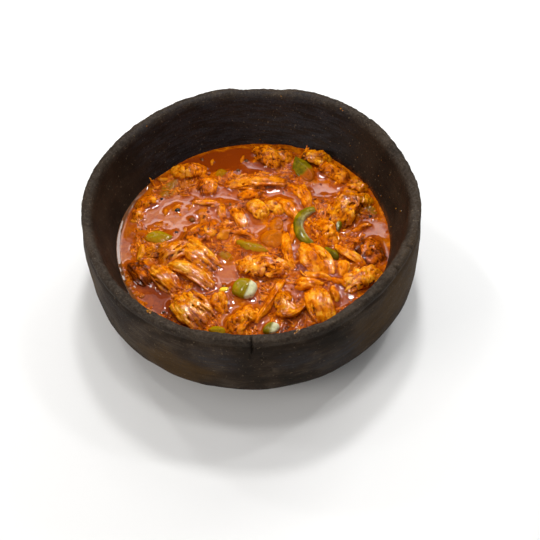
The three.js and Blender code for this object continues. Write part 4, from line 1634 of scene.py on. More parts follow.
@dataclass(frozen=True)
class Splinter:
    """A thin bit of meat that stands in the broth's edge by the wall."""

    name: str
    x: float
    y: float
    length: float
    width: float
    out: tuple[float, float]

    def build(self, material: Material) -> SceneObject:
        """Builds the splinter from three fibres.

        Args:
            material: The meat's finish.

        Returns:
            The piece.
        """
        strands = []
        for number in range(3):
            step = np.linspace(-0.35, 1 - 0.12 * number, 14)
            lean = np.maximum(step, 0)
            sway = 0.25 * self.width * np.sin(step * 4 + number * 2)
            path = np.stack([self.x + lean * self.out[0] + sway + (number - 1) * self.width * 0.22,
                             self.y + lean * self.out[1] - sway * 0.5,
                             BROTH_LEVEL + step * self.length], axis=1)
            radius = self.width / 2 * (0.72 - 0.5 * lean)
            strands.append(Strand(path, radius, 0.9))
        form = fused(joined([strand.form() for strand in strands]), SPLINTER_VOXEL)
        edges = form.edges()
        form.points = relaxed(form.points, edges, 1)
        form.notes = food_notes(form, edges, 0.3 + 0 * form.points[:, 0])
        form.notes["grain"] = (form.points - [self.x, self.y, BROTH_LEVEL])[:, [2, 0, 1]]
        return add_piece("shredded_" + self.name, form.mesh(self.name), material, [self.name])


# ---------- the broth


def from_middle(oval: "Pool | Sunken", x: Array, y: Array) -> Array:
    """How far places lie from the middle of an oval, whose edge is at 1.

    Args:
        oval: The oval's middle, length, width and direction.
        x: The places' X.
        y: The places' Y.

    Returns:
        One number for each place.
    """
    heading = math.radians(oval.heading)
    east, north = x - oval.x, y - oval.y
    along = (east * math.cos(heading) + north * math.sin(heading)) / (oval.length / 2)
    side = (north * math.cos(heading) - east * math.sin(heading)) / (oval.width / 2)
    return np.hypot(along, side)


@dataclass(frozen=True)
class Pool:
    """A calm stretch of broth: its middle, length, width, direction in degrees and how much darker it is
    painted, partly for deeper sauce and partly as painted shade.
    """

    x: float
    y: float
    length: float
    width: float
    heading: float = 0.0
    depth: float = 0.0

    def share(self, x: Array, y: Array, ragged: Array) -> Array:
        """How far places lie in the pool, from 0 to 1, where ragged makes its edge uneven."""
        return 1 - smoothstep(from_middle(self, x, y) + 0.2 * ragged, 1.0, 1.4)


@dataclass(frozen=True)
class Sunken:
    """A piece under the broth's surface. Its shade goes from -1, green, to 1, pale amber."""

    x: float
    y: float
    length: float
    width: float
    rise: float
    heading: float
    shade: float

    def swell(self, x: Array, y: Array, ragged: Array) -> Array:
        """How far the surface swells over the piece, from 0 to 1."""
        away = from_middle(self, x, y) + 0.3 * ragged
        return np.sqrt(np.clip(1 - away * away, 0, 1))


@dataclass
class Broth:
    """The broth: calm pools and busy stretches, climbing a little at every piece and at the wall.

    creep is how far the climb reaches, contact and wall_contact how high it gets. On the left it is a
    straight ramp instead, of slope ramp and width ramp_width, under a pale film. The maps cover a square
    with sides of twice half: how high the surface is, how near food is, how busy it is, how high food
    stands, the shade of sunken pieces, how much darker the broth is painted, partly for deeper sauce and
    partly as painted shade, and where the film lies.
    """

    pot: Pot
    pools: list[Pool]
    sunken: list[Sunken]
    cell: float = 0.5
    across: int = 300
    creep: float = 2.4
    contact: float = 1.7
    wall_contact: float = 1.1
    ramp: float = 0.52
    ramp_width: float = 2.7
    left: Stretch = Stretch(138, 232)
    back: Stretch = Stretch(80, 140)
    climb_rounds: int = 240
    near_rounds: int = 50
    half: float = field(init=False)
    level: Array = field(init=False)
    near: Array = field(init=False)
    busy: Array = field(init=False)
    covered: Array = field(init=False)
    shade: Array = field(init=False)
    deep: Array = field(init=False)
    film: Array = field(init=False)

    def __post_init__(self) -> None:
        """Sets half the maps' width."""
        self.half = self.pot.broth_radius + 4

    def grid(self) -> tuple[Array, Array, Array]:
        """The X and Y of the maps' cells, and both as one row of X, Y and 0 for each cell."""
        line = np.arange(-self.half, self.half, self.cell)
        x, y = np.meshgrid(line, line, indexing="ij")
        return x, y, np.stack([x.ravel(), y.ravel(), 0 * x.ravel()], axis=1)

    def survey(self, pieces: list[SceneObject]) -> None:
        """Maps how high pieces stand above the broth, where it is busy and where it is painted darker, partly
        for deeper sauce and partly as painted shade.

        Args:
            pieces: What lies in it.
        """
        x, y, flat = self.grid()
        found = np.zeros_like(x)
        for piece in pieces:
            points = np.empty(len(piece.data.vertices) * 3, np.float32)
            piece.data.vertices.foreach_get("co", points)
            points = points.reshape(-1, 3) / MM
            index = ((points[:, :2] + self.half) / self.cell).round().astype(int)
            index = np.clip(index, 0, len(found) - 1)
            np.maximum.at(found, (index[:, 0], index[:, 1]), points[:, 2] - BROTH_LEVEL)
        self.covered = found
        ragged = NOISE.layered(flat, 9).reshape(x.shape)
        calm = np.zeros_like(x)
        self.deep = np.zeros_like(x)
        for pool in self.pools:
            share = pool.share(x, y, ragged)
            calm = np.maximum(calm, share)
            self.deep = np.maximum(self.deep, share * pool.depth)
        self.busy = 1 - calm

    def settle(self) -> None:
        """Works out the surface's height, where the film lies and how near each place is to food."""
        x, y, flat = self.grid()
        tops = self.covered
        beyond = np.hypot(x, y) > self.pot.wall_radius(np.arctan2(y, x), BROTH_LEVEL + 0.5)
        uneven = 1 + 0.4 * NOISE.at(flat, 5).reshape(x.shape)
        solid = tops > 0.35
        held = solid | beyond
        angle = np.arctan2(y, x)
        left = self.left.share(angle)
        climb = self.wall_contact - 0.9 * self.back.share(angle) - 0.8 * left
        rim = np.where(beyond, climb * uneven, np.minimum(tops - 0.25, self.contact * uneven))
        swell = np.zeros_like(x)
        self.shade = np.zeros_like(x)
        ragged = NOISE.layered(flat, 4.5).reshape(x.shape)
        for piece in self.sunken:
            share = piece.swell(x, y, ragged)
            swell = np.maximum(swell, share * piece.rise)
            self.shade += smoothstep(share, 0.2, 0.8) * piece.shade
        height = np.where(held, rim, swell)
        stiff = (self.cell / self.creep) ** 2
        for _ in range(self.climb_rounds):
            height = np.where(held, rim, np.maximum(self.around(height) * 4 / (4 + stiff), swell))
        for _ in range(2):
            height = (height + self.around(height)) / 2
        waves = 0.3 * NOISE.at(flat, 6.2) + 0.14 * NOISE.at(flat + 50, 3.1) + 0.05 * NOISE.at(flat + 70, 1.7)
        calm = 0.025 * NOISE.at(flat, 17) + 0.010 * NOISE.at(flat, 5)
        still = 1 - 0.8 * smoothstep(y, 42, 58)
        gap = self.pot.wall_radius(angle, BROTH_LEVEL + 1.2) - np.hypot(x, y)
        past = np.clip((self.ramp_width * (0.6 + 0.4 * left) - gap) / 0.3, -30, 30)
        ramp = self.ramp * 0.3 * np.logaddexp(0, past)
        waves, calm = waves.reshape(x.shape), calm.reshape(x.shape)
        self.level = height + waves * self.busy * still + calm + left * ramp
        self.film = left * (1 - smoothstep(gap, self.ramp_width - 0.6, self.ramp_width + 0.2))
        near = np.where(solid, 1.0, 0.0)
        for _ in range(self.near_rounds):
            near = np.where(solid, 1.0, self.around(near) * 0.975)
        self.near = near

    @staticmethod
    def around(values: Array) -> Array:
        """The mean of each cell's four neighbours."""
        rows = np.roll(values, 1, 0) + np.roll(values, -1, 0)
        return (rows + np.roll(values, 1, 1) + np.roll(values, -1, 1)) / 4

    def read(self, values: Array, points: Array) -> Array:
        """Reads a map between its cells.

        Args:
            values: The map.
            points: Places, of which X and Y count.

        Returns:
            One value for each place.
        """
        spot = np.clip((points[:, :2] + self.half) / self.cell, 0, len(values) - 1.001)
        low = spot.astype(int)
        part = spot - low
        total = 0.0
        for step in ((0, 0), (1, 0), (0, 1), (1, 1)):
            weight = np.abs(1 - step[0] - part[:, 0]) * np.abs(1 - step[1] - part[:, 1])
            total = total + weight * values[low[:, 0] + step[0], low[:, 1] + step[1]]
        return total

    def build(self, material: Material) -> SceneObject:
        """Builds the broth down to the pot's floor.

        Args:
            material: The broth's finish.

        Returns:
            The broth.
        """
        count = self.across + 1
        line = np.linspace(-1, 1, count)
        a, b = np.meshgrid(line, line, indexing="ij")
        larger = np.where(np.abs(a) > np.abs(b), a, b)
        quarter = math.pi / 4
        safe_a, safe_b = np.where(a == 0, 1e-9, a), np.where(b == 0, 1e-9, b)
        turn = np.where(np.abs(a) > np.abs(b), quarter * b / safe_a, math.pi / 2 - quarter * a / safe_b)
        angle = np.arctan2(np.sin(turn) * larger, np.cos(turn) * larger)
        reach = np.abs(larger) * (self.pot.wall_radius(angle, BROTH_LEVEL + 1.2) + 0.3)
        points = in_space(reach, angle, 0 * reach)
        points[:, 2] = BROTH_LEVEL + self.read(self.level, points)
        index = np.arange(count * count).reshape(count, count)
        corners = [index[:-1, :-1], index[1:, :-1], index[1:, 1:], index[:-1, 1:]]
        top = np.stack(corners, axis=-1).reshape(-1, 4)
        edge = np.concatenate([index[:-1, 0], index[-1, :-1], index[:0:-1, -1], index[0, :0:-1]])
        floor = self.pot.floor_height
        steps = [(BROTH_LEVEL - 3, -1.2), (floor + 18.9, -4.3), (floor + 9, -12.2), (floor + 2.2, -28.3)]
        rings = []
        for height, inset in steps:
            ring = points[edge].copy()
            radius = np.hypot(ring[:, 0], ring[:, 1])
            ring[:, :2] *= ((radius + inset) / radius)[:, None]
            ring[:, 2] = height
            rings.append(ring)
        middle = np.array([[0, 0, floor + 0.3]])
        start = count * count
        loops = [edge] + [start + k * len(edge) + np.arange(len(edge)) for k in range(len(steps))]
        sides = [np.stack([upper, lower, np.roll(lower, -1), np.roll(upper, -1)], axis=1)
                 for upper, lower in zip(loops, loops[1:])]
        pole = start + len(steps) * len(edge)
        under = np.stack([np.roll(loops[-1], -1), loops[-1], np.full(len(edge), pole)], axis=1)
        form = Form(np.concatenate([points, *rings, middle]), [top, *sides, under]).outward()
        rest = np.zeros(len(form.points) - len(points))
        for name in ("near", "busy", "shade", "deep", "film"):
            form.notes[name] = np.concatenate([self.read(getattr(self, name), points), rest])
        return add_piece("red_broth", form.mesh("red_broth"), material, ["broth"])


# ---------- scattered things


class Bit(Enum):
    """The shapes of the small things."""

    ROUND = "a lumpy ball"
    FIBRE = "a short bent fibre"


@dataclass
class Scatter:
    """Many small things of one kind, set out by Geometry Nodes."""

    name: str
    shape: Bit
    slot: Slot
    lumpy: float
    seed: int
    places: list[Triple] = field(default_factory=list)
    sizes: list[Triple] = field(default_factory=list)
    turns: list[Triple] = field(default_factory=list)
    tones: list[float] = field(default_factory=list)
    LUMPS_PER_METRE = 420.0

    def add(self, place: Triple, size: Triple,
            turn: Triple = (0.0, 0.0, 0.0), tone: float = 0.0) -> None:
        """Adds one thing.

        Args:
            place: Its middle in millimetres.
            size: Its lengths in millimetres.
            turn: Its turn about X, Y and Z in radians.
            tone: How light it is, from -1 to 1.
        """
        self.places.append(place)
        self.sizes.append(size)
        self.turns.append(turn)
        self.tones.append(tone)

    def tree(self, material: Material) -> NodeTree:
        """Builds the tree that sets the shape on every place.

        Args:
            material: The things' finish.

        Returns:
            The tree, whose inputs are the lumps' size, their height and the seed.
        """
        tree = bpy.data.node_groups.new("set_out_" + self.name, "GeometryNodeTree")
        tree.interface.new_socket("Geometry", in_out="INPUT", socket_type="NodeSocketGeometry")
        for name in ("Lump size", "Lump height", "Seed"):
            tree.interface.new_socket(name, in_out="INPUT", socket_type="NodeSocketFloat")
        tree.interface.new_socket("Geometry", in_out="OUTPUT", socket_type="NodeSocketGeometry")
        graph = Graph(tree)
        given = graph.node("NodeGroupInput").outputs
        if self.shape is Bit.ROUND:
            ball = graph.node("GeometryNodeMeshIcoSphere", {"Radius": 0.5, "Subdivisions": 3})
            shape = ball.outputs["Mesh"]
        else:
            arc = graph.node("GeometryNodeCurveQuadraticBezier", {
                "Resolution": 6, "Start": (-0.5, 0.0, 0.0), "Middle": (0.0, 0.22, 0.35),
                "End": (0.5, 0.0, 0.0)})
            ring = graph.node("GeometryNodeCurvePrimitiveCircle", {"Resolution": 6, "Radius": 0.5})
            thin = graph.node("GeometryNodeCurveToMesh", {
                "Curve": arc.outputs[0], "Profile Curve": ring.outputs[0], "Fill Caps": True,
                "Scale": 0.16})
            shape = thin.outputs[0]
        size, turn = (graph.node("GeometryNodeInputNamedAttribute", {"Name": name}, data_type="FLOAT_VECTOR")
                      for name in ("size", "turned"))
        rotation = graph.node("FunctionNodeEulerToRotation", {0: turn.outputs[0]})
        instances = graph.node("GeometryNodeInstanceOnPoints", {
            "Points": given["Geometry"], "Instance": shape, "Rotation": rotation.outputs[0],
            "Scale": size.outputs[0]})
        real = graph.node("GeometryNodeRealizeInstances", {"Geometry": instances.outputs[0]})
        noise = graph.node("ShaderNodeTexNoise", {"Scale": given["Lump size"], "Detail": 2.0,
                                                  "W": given["Seed"]}, noise_dimensions="4D")
        centred = graph.node("ShaderNodeVectorMath", {0: noise.outputs["Color"], 1: (0.5, 0.5, 0.5)},
                             operation="SUBTRACT")
        scaled = graph.node("ShaderNodeVectorMath", {0: centred.outputs[0], "Scale": given["Lump height"]},
                            operation="SCALE")
        moved = graph.node("GeometryNodeSetPosition", {"Geometry": real.outputs[0],
                                                       "Offset": scaled.outputs[0]})
        smooth = graph.node("GeometryNodeSetShadeSmooth", {"Geometry": moved.outputs[0]})
        dressed = graph.node("GeometryNodeSetMaterial", {"Geometry": smooth.outputs[0], "Material": material})
        graph.node("NodeGroupOutput", {"Geometry": dressed.outputs[0]})
        return tree

    def build(self, material: Material) -> SceneObject:
        """Sets the things out and keeps the result as a plain mesh.

        Args:
            material: Their finish.

        Returns:
            The piece.
        """
        mesh = bpy.data.meshes.new(self.name + "_places")
        mesh.from_pydata([Vector(place) * MM for place in self.places], [], [])
        write_note(mesh, "size", np.array(self.sizes) * MM)
        write_note(mesh, "turned", self.turns)
        write_note(mesh, "tone", self.tones)
        source = put_in_scene(self.name + "_places", mesh)
        tree = self.tree(material)
        modifier = source.modifiers.new("set_out", "NODES")
        modifier.node_group = tree
        inputs = {item.name: item.identifier for item in tree.interface.items_tree if item.in_out == "INPUT"}
        modifier[inputs["Lump size"]] = self.LUMPS_PER_METRE
        modifier[inputs["Lump height"]] = self.lumpy * MM
        modifier[inputs["Seed"]] = float(self.seed)
        depsgraph = bpy.context.evaluated_depsgraph_get()
        made = bpy.data.meshes.new_from_object(source.evaluated_get(depsgraph))
        source.modifiers.remove(modifier)
        bpy.data.objects.remove(source)
        made.name = self.name
        for name, value in (("hollow", 0.0), ("wet", 0.2), ("height", 0.35)):
            write_note(made, name, np.full(len(made.vertices), value))
        return add_piece(self.name, made, material, [])


# ---------- the studio


@dataclass(frozen=True)
class Softbox:
    """A square lamp with a soft face, aimed at the pot."""

    name: str
    azimuth: float
    elevation: float
    distance: float
    size: tuple[float, float]
    radiance: float
    colour: Colour = (1.0, 1.0, 1.0)

    def build(self, target: Vector) -> None:
        """Hangs the lamp.

        Args:
            target: The point that it faces.
        """
        azimuth, elevation = math.radians(self.azimuth), math.radians(self.elevation)
        away = Vector((math.sin(azimuth) * math.cos(elevation), math.cos(azimuth) * math.cos(elevation),
                       math.sin(elevation)))
        data = bpy.data.lights.new(self.name, "AREA")
        data.shape = "RECTANGLE"
        data.size, data.size_y = (side * MM for side in self.size)
        data.color = self.colour
        data.energy = self.radiance * math.pi * data.size * data.size_y
        lamp = put_in_scene(self.name, data)
        lamp.location = target + away * self.distance * MM
        lamp.rotation_euler = away.to_track_quat("Z", "Y").to_euler()


@dataclass
class Studio:
    """The camera, the lamps and the pale floor."""

    frame_pixels: float = 540.0
    focal_pixels: float = 998.46
    distance: float = 709.19
    elevation: float = 47.034
    roll: float = -3.971
    rim_height: float = 84.0
    rim_at: tuple[float, float] = (250.34, 199.71)
    lamps: tuple[Softbox, ...] = (
        Softbox("strip_behind", 0, 45.5, 1300, (1100, 58), 6.0),
        Softbox("softbox_low", 0, 48.9, 1305, (1100, 90), 1.75),
        Softbox("softbox_high", 14.7, 54.2, 1310, (780, 152), 1.7),
        Softbox("softbox_high_left", -26.5, 53.0, 1310, (380, 150), 1.0),
        Softbox("panel_behind_right", 14, 49, 1290, (300, 120), 2.8),
        Softbox("key_behind", 12, 65, 1200, (130, 130), 94.0),
        Softbox("lamp_above", 30, 86, 1100, (120, 120), 50.0),
        Softbox("window_right", 40, 31, 1300, (520, 400), 8.5),
        Softbox("lamp_left", -62, 58, 1300, (110, 110), 30.0),
        Softbox("spark_left", -38, 44, 1200, (60, 60), 150.0),
        Softbox("spark_right", 62, 56, 1200, (60, 60), 150.0),
        Softbox("fill_left", -112, 22, 1500, (700, 500), 9.5, (1.0, 0.95, 0.90)),
    )
    glow: float = 0.38
    dim: float = 0.05
    floor_half: float = 6.0

    def aim(self) -> None:
        """Sets up the camera at the photograph's angle."""
        tilt = math.radians(self.elevation)
        target = Vector((0, 0, self.rim_height))
        eye = target + Vector((0, -self.distance * math.cos(tilt), self.distance * math.sin(tilt)))
        forward = (target - eye).normalized()
        right = Vector((1, 0, 0))
        up = right.cross(forward)
        level = Matrix((right, up, -forward)).transposed()
        half = self.frame_pixels / 2
        towards = Vector(((self.rim_at[0] - half) / self.focal_pixels,
                          -(self.rim_at[1] - half) / self.focal_pixels, -1)).normalized()
        centred = towards.rotation_difference(Vector((0, 0, -1))).to_matrix()
        turned = level @ Matrix.Rotation(math.radians(self.roll), 3, "Z") @ centred
        data = bpy.data.cameras.new("camera")
        data.sensor_width = 36.0
        data.lens = self.focal_pixels / self.frame_pixels * data.sensor_width
        data.clip_start, data.clip_end = 0.01, 100.0
        camera = put_in_scene("camera", data)
        camera.matrix_world = Matrix.Translation(eye * MM) @ turned.to_4x4()
        bpy.context.scene.camera = camera

    def build(self) -> None:
        """Sets up the camera, the lamps, the sky and the floor."""
        self.aim()
        target = Vector((0, 0, BROTH_LEVEL * MM))
        for lamp in self.lamps:
            lamp.build(target)
        world = bpy.data.worlds.new("studio")
        bpy.context.scene.world = world
        world.use_nodes = True
        sky = world.node_tree.nodes["Background"]
        room = Graph(world.node_tree)
        room.feed(sky, {"Color": (1, 1, 1, 1)})
        towards = room.node("ShaderNodeTexCoord").outputs["Generated"]
        behind = room.node("ShaderNodeSeparateXYZ", {0: towards}).outputs[1]
        room.feed(sky, {"Strength": room.spread(behind, 0.3, 0.7, self.glow, self.dim)})
        scene = bpy.context.scene
        scene.view_settings.view_transform = "Standard"
        scene.view_settings.look = "None"
        mesh = bpy.data.meshes.new("floor")
        half = self.floor_half
        corners = [(-half, -half, 0), (half, -half, 0), (half, half, 0), (-half, half, 0)]
        mesh.from_pydata(corners, [], [(0, 1, 2, 3)])
        floor = put_in_scene("floor", mesh)
        material, graph, shader = new_material("pale_floor")
        tint = graph.mix(graph.noise(graph.place(), 3.0), (0.8, 0.8, 0.795), (0.83, 0.83, 0.825))
        graph.feed(shader, {"Base Color": tint, "Roughness": 0.9})
        mesh.materials.append(material)


# ---------- where the pieces lie


def meat_pieces() -> list[Meat]:
    """The pieces of meat, as they lie in the photograph."""
    strands, ragged, smooth = Texture.STRANDS, Texture.RAGGED, Texture.SMOOTH
    return [
        Meat("meat_left_crown", [Bundle(-58, -10, 27, 14, 8.5, 42, 0, 3)], strands, 0.2, 0.8, 0.1),
        Meat("meat_left_inner", [Bundle(-40, -13, 38, 18, 7, -52, 14, 5)], strands, 0.3, 0.9, 0.1),
        Meat("meat_left_middle", [Bundle(-47, -30, 40, 13, 7.5, -38, -12, 4)], strands, 0.45, 1.0, 0.1),
        Meat("meat_left_outer", [Bundle(-66, -33, 30, 16, 7, -52, 10, 5)], strands, 0.0, 1.0),
        Meat("meat_left_frayed", [Bundle(-83, -26, 24, 15, 6, -62, 30, 4)], strands, -1.9, 0.2),
        Meat("meat_left_edge", [Bundle(-70, -6, 20, 11, 4.5, 15, 0, 3)], ragged, -0.1, 0.4, 0.3),
        Meat("meat_front_left_lump", [Bundle(-46, -62, 31, 27, 8.6, -55, 20, 6)], strands, 0.0, 1.0, 0.1),
        Meat("meat_dark_left", [Bundle(-38, 8, 30, 15, 4, 25, 0, 4)], ragged, -0.3),
        Meat("meat_corner_back_left", [Bundle(-33, 38, 23, 6, 3.5, -14, 0, 2),
                                       Bundle(-22, 30, 14, 6, 3, -82, 0, 2)], strands, 0.3, 0.6),
        Meat("meat_slab_center", [Bundle(-10, 22, 21, 9, 3.5, -69, 0, 2)], strands, 0.3, 0.8),
        Meat("meat_yellow_back_left", [Bundle(-47, 73, 29, 13, 6, -5, 0, 3)], ragged, 0.05, 0.1),
        Meat("meat_orange_back_left", [Bundle(-32, 56, 19, 14, 4, 80, 0, 3)], ragged, -0.3, 0.1),
        Meat("meat_long_back", [Bundle(6, 55, 46, 13, 6.5, -3, 8, 4)], strands, -0.15, 0.3, 0.1),
        Meat("meat_under_long_back", [Bundle(1, 44, 22, 9, 4, 5, 0, 3)], ragged, -0.3, 0.1),
        Meat("meat_back_wall", [Bundle(16, 83, 29, 16, 7, -55, 0, 4),
                                Bundle(28, 84, 18, 10, 4.5, -50, 0, 2)], ragged, -0.75, 0.25, 0.3),
        Meat("meat_back_right_peak", [Bundle(54, 77, 25, 13, 9, -32, 0, 4)], ragged, -0.35, 0.25, 0.5),
        Meat("meat_back_right_slope", [Bundle(67, 60, 28, 13, 8, -50, 0, 4)], ragged, -0.7, 0.2, 0.2),
        Meat("meat_right_wall", [Bundle(83, 44, 18, 10, 6, -42, 0, 3)], ragged, -0.2, 0.0, 0.2),
        Meat("meat_yellow_center", [Bundle(5, 28, 21, 12, 6.5, -60, 0, 3),
                                    Bundle(17, 29, 20, 10, 3.5, -30, 0, 2)], ragged, 0.45, 0.4, 0.25),
        Meat("meat_strip_center", [Bundle(28, 26, 31, 8, 6, -60, -14, 2)], strands, 0.2, 0.3),
        Meat("meat_strips_back_right", [Bundle(42, 38, 27, 7, 5, -82, 0, 2),
                                        Bundle(36, 43, 20, 5, 4, -62, 0, 2)], strands, 0.2),
        Meat("meat_right_mass", [Bundle(72, 22, 38, 21, 10, 58, 10, 5)], ragged, -0.5, 0.5, 0.3),
        Meat("meat_inside_ring", [Bundle(54, 0, 27, 15, 7, -68, 0, 4)], ragged, 0.05, 0.6),
        Meat("meat_right_wall_tan", [Bundle(86, 30, 15, 10, 6, -65, 0, 3)], ragged, -0.1, 0.2, 0.4),
        Meat("meat_thick_shred", [Bundle(69, -23, 28, 7, 7, -43, 10, 1)], strands, 0.35, 0.6),
        Meat("meat_smooth_right", [Bundle(44, -24, 35, 19, 7.5, -62, 0, 3)], smooth, 0.4, 0.4),
        Meat("meat_dark_round", [Bundle(84, -20.5, 24, 19, 6, -70, 0, 5)], ragged, -1.4, 0.3),
        Meat("meat_ridged_small", [Bundle(64, -34, 14, 9, 5, 82, 0, 3)], strands, 0.25),
        Meat("meat_right_front", [Bundle(76, -46, 29, 18, 8, 22, 0, 5)], ragged, 0.5, 0.9, 0.1),
        Meat("meat_shred_right", [Bundle(81, 3, 16, 4.5, 3, 25, 0, 1)], strands, 0.0),
        Meat("meat_center_front", [Bundle(6, -29, 36, 20, 8, -10, 0, 5)], ragged, 0.25, 0.5),
        Meat("meat_shreds_center", [Bundle(25, -13, 34, 7, 5, -86, 14, 2)], strands, 0.25),
        Meat("meat_long_front_shred", [Bundle(9, -60, 42, 6, 5.5, 60, 12, 1)], strands, 0.2),
        Meat("meat_lump_front", [Bundle(37, -47, 20, 13, 6, -8, 0, 3)], smooth, 0.3, 0.4),
        Meat("meat_pale_shred", [Bundle(45, -40, 21, 5.5, 4, -20, 0, 1)], strands, 0.5),
        Meat("meat_short_shred_right", [Bundle(59, -47, 13, 5, 4, -35, 0, 1)], strands, 0.4),
        Meat("meat_short_shred_front", [Bundle(55, -57, 14, 5, 6, -80, 0, 1)], strands, 0.3),
        Meat("meat_ridged_front", [Bundle(43, -67, 30, 19, 9, -78, 0, 4)], strands, 0.3, 0.5),
        Meat("meat_loop_front", [Bundle(19, -64, 24, 14, 5.5, -82, 0, 3),
                                 Bundle(24, -70, 30, 5, 7, 22, 130, 1)], ragged, 0.05, 0.5, 0.2),
        Meat("meat_front_wall", [Bundle(-12, -75, 27, 15, 6, 45, 0, 4)], ragged, 0.2),
        Meat("meat_bits_front_left", [Bundle(-26, -58, 19, 10, 4.5, -75, 0, 2)], ragged, 0.2),
        Meat("meat_left_wall_back", [Bundle(-79, 44, 19, 9, 4, 38, 0, 3),
                                     Bundle(-85, 34, 17, 8, 3.5, 78, 0, 2)], ragged, 0.3),
        Meat("meat_thin_center", [Bundle(-9, 5, 20, 4, 3, -18, -30, 1)], strands, 0.0, 0.3),
        Meat("meat_shred_by_ring", [Bundle(30, 2, 22, 5.5, 4, 78, -16, 1)], strands, 0.25),
    ]


def splinters() -> list[Splinter]:
    """The two splinters at the wall."""
    return [Splinter("meat_splinter_left", -74.5, 61, 9.5, 3.2, (-0.8, 0.6)),
            Splinter("meat_splinter_back", 45.5, 85, 8.5, 3, (3.4, 1.2))]


def pepper_pieces() -> list[Vegetable]:
    """The slices and dice of green pepper."""
    rows = [
        (0.5, Slice(-70.5, 7.5, 22, 12, 2.6, -4, 0, "pepper_left", 0.9, 1, ridge=0.25)),
        (0.6, Slice(-1, -8, 27, 10, 3.6, -27, 0, "pepper_center", 1.0, 1, ridge=0.4)),
        # The pale side of pepper_dome is partly cut flesh and partly a painted highlight.
        (0.05, Slice(-8.5, -48, 18, 17, 7.4, 0, 0, "pepper_dome", 0.0, 0, (-22, 2.0, 1.6), ridge=0.12)),
        (-0.7, Slice(43, 67, 28, 16, 7, -66, 0, "pepper_back", 1.25, -1, ridge=0.5)),
        (-0.9, Slice(56, -20, 15, 8, 4.5, -50, 0, "pepper_dark", 0.4, ridge=0.4)),
        # The pale side of pepper_front_wall is a painted highlight.
        (-0.2, Slice(8, -84, 12, 9, 5, 20, 0, "pepper_front_wall", 0.2, 0, (-20, -0.5, 2.5))),
        (0.3, Slice(-29, -82, 13, 8, 4, -12, 0, "pepper_front_left", 0.3, ridge=0.35)),
        (-0.4, Slice(65, 8, 16, 5, 6, 76, 0, "pepper_gray_right", 0.3, 0, (180, 0.5, 2.0))),
    ]
    smears = {"pepper_back": (-55.0, 3.5, 3.0), "pepper_center": (70.0, 1.0, 2.0),
              "pepper_left": (175.0, 7.0, 2.5)}
    return [Vegetable(piece.name, [piece], Slot.PEPPER, 0.5, tone, smeared=smears.get(piece.name))
            for tone, piece in rows]


def onion_pieces() -> list[Vegetable]:
    """The pieces of softened onion."""
    center = [Slice(14, -2, 17, 17, 4.2, 20, 0, "onion_center", 0.0, ridge=0.45, lean=0.16),
              Slice(18, 11, 15, 10, 3.6, 60, 0, "", 0.2, ridge=0.4)]
    triangle = Slice(-22, 6, 13, 11, 3.4, 40, 0, "", 0.9, 1, ridge=0.5)
    strip = Slice(-83, -7, 14, 6, 4.0, 75, 30, "", 0.3, ridge=0.4)
    return [Vegetable("onion_center", center, Slot.ONION, 0.8, -0.5),
            Vegetable("onion_triangle", [triangle], Slot.ONION, 1.0, 0.25),
            Vegetable("onion_left_strip", [strip], Slot.ONION, 0.7, 0.8)]


def sunken_pieces() -> list[Sunken]:
    """The pieces that the broth covers; they swell its surface and show through it."""
    rows = [(-62, 57, 22, 13, 1.4, 55, -0.8), (-21, 70, 11, 8, 2.2, 20, -1.0),
            (-21, -14, 13, 8, 1.8, -40, -0.9), (46, 54, 13, 9, 2, 0, 0.4),
            (-49, 60, 14, 12, 2.2, 20, 0.5), (-87, 13, 15, 11, 1.2, 0, 0.2),
            (-36, 28, 13, 10, 2, -70, 0.6), (91, 19, 13, 8, 2, -60, -0.8), (64, -71, 11, 6, 3, 35, 1.0),
            (-6, -28, 9, 7, 1.2, 20, 0.3), (63, -38, 9, 7, 1.6, 80, 0.9), (30, 34, 9, 7, 1.2, 0, 0.5),
            (-14, 3, 8, 6, 1.0, 30, 0.4), (-75, -12, 9, 6, 1.5, 20, 0.8), (-60, -66, 9, 6, 1.0, -50, 0.2)]
    return [Sunken(*row) for row in rows]


def soft_bits() -> list[Vegetable]:
    """Small, soft, pale bits that lie at the surface."""
    rows = [
        ("soft_bit_back_left", 0.3, (-67, 67, 8, 4.5, 1.8, -5)),
        ("soft_bit_by_corn", 0.1, (-57, 36, 11, 6, 1.0, 50)),
        ("soft_bit_left", -0.1, (-68, 20, 10, 4, 0.9, -10)),
        ("soft_bit_flecked", 0.1, (-65, 33, 7, 2.6, 0.7, 85)),
        ("soft_bit_yellow", 0.4, (-50, 14, 6, 3, 0.7, 80)),
        ("soft_bit_back", 0.1, (-28, 83, 8, 3, 0.8, 80)),
        ("soft_bit_back_middle", -0.2, (-4, 84, 9, 3, 0.9, 70)),
        ("soft_bit_front", 1.3, (-23, -46, 7, 4.4, 2.2, 10)),
        ("soft_bit_right", 0.0, (32, -18, 4.5, 3.5, 1.5, 0)),
        ("soft_bit_ringed", 0.1, (-45, 38, 13, 3, 1.0, 62)),
        ("soft_bit_left_wall", 0.3, (-87, 27, 9, 6, 1.5, 20)),
    ]
    return [Vegetable(name, [Slice(*row, name=name, point=0.3, cut=(0, -20, 1) if tone > 1 else None)],
                      Slot.ONION, 1.1, tone, False) for name, tone, row in rows]


def peppercorns() -> Scatter:
    """The peppercorns and seeds that float in the broth."""
    corns = Scatter("peppercorns", Bit.ROUND, Slot.BROTH, 0.35, 3)
    rows = [(-56, 34, 4.6, 0), (-45, 23, 5.2, 0.9), (-68, 47, 3, 0), (-57, 12, 3, 0.2), (-16, 36, 4, 0.8),
            (-8, 72, 3.6, 0.6), (-36, 87, 3.2, 0.7), (-1, 82, 4, 0.5), (89, 14, 3.6, 0.1), (-43, -47, 3, 0.4),
            (-66, -62, 3, 0.3), (-23, -43, 4, 1.0)]
    for x, y, size, tone in rows:
        corns.add((x, y, BROTH_LEVEL - size * 0.05), (size, size * 0.9, size * 0.85), (0, 0, x), tone)
    return corns


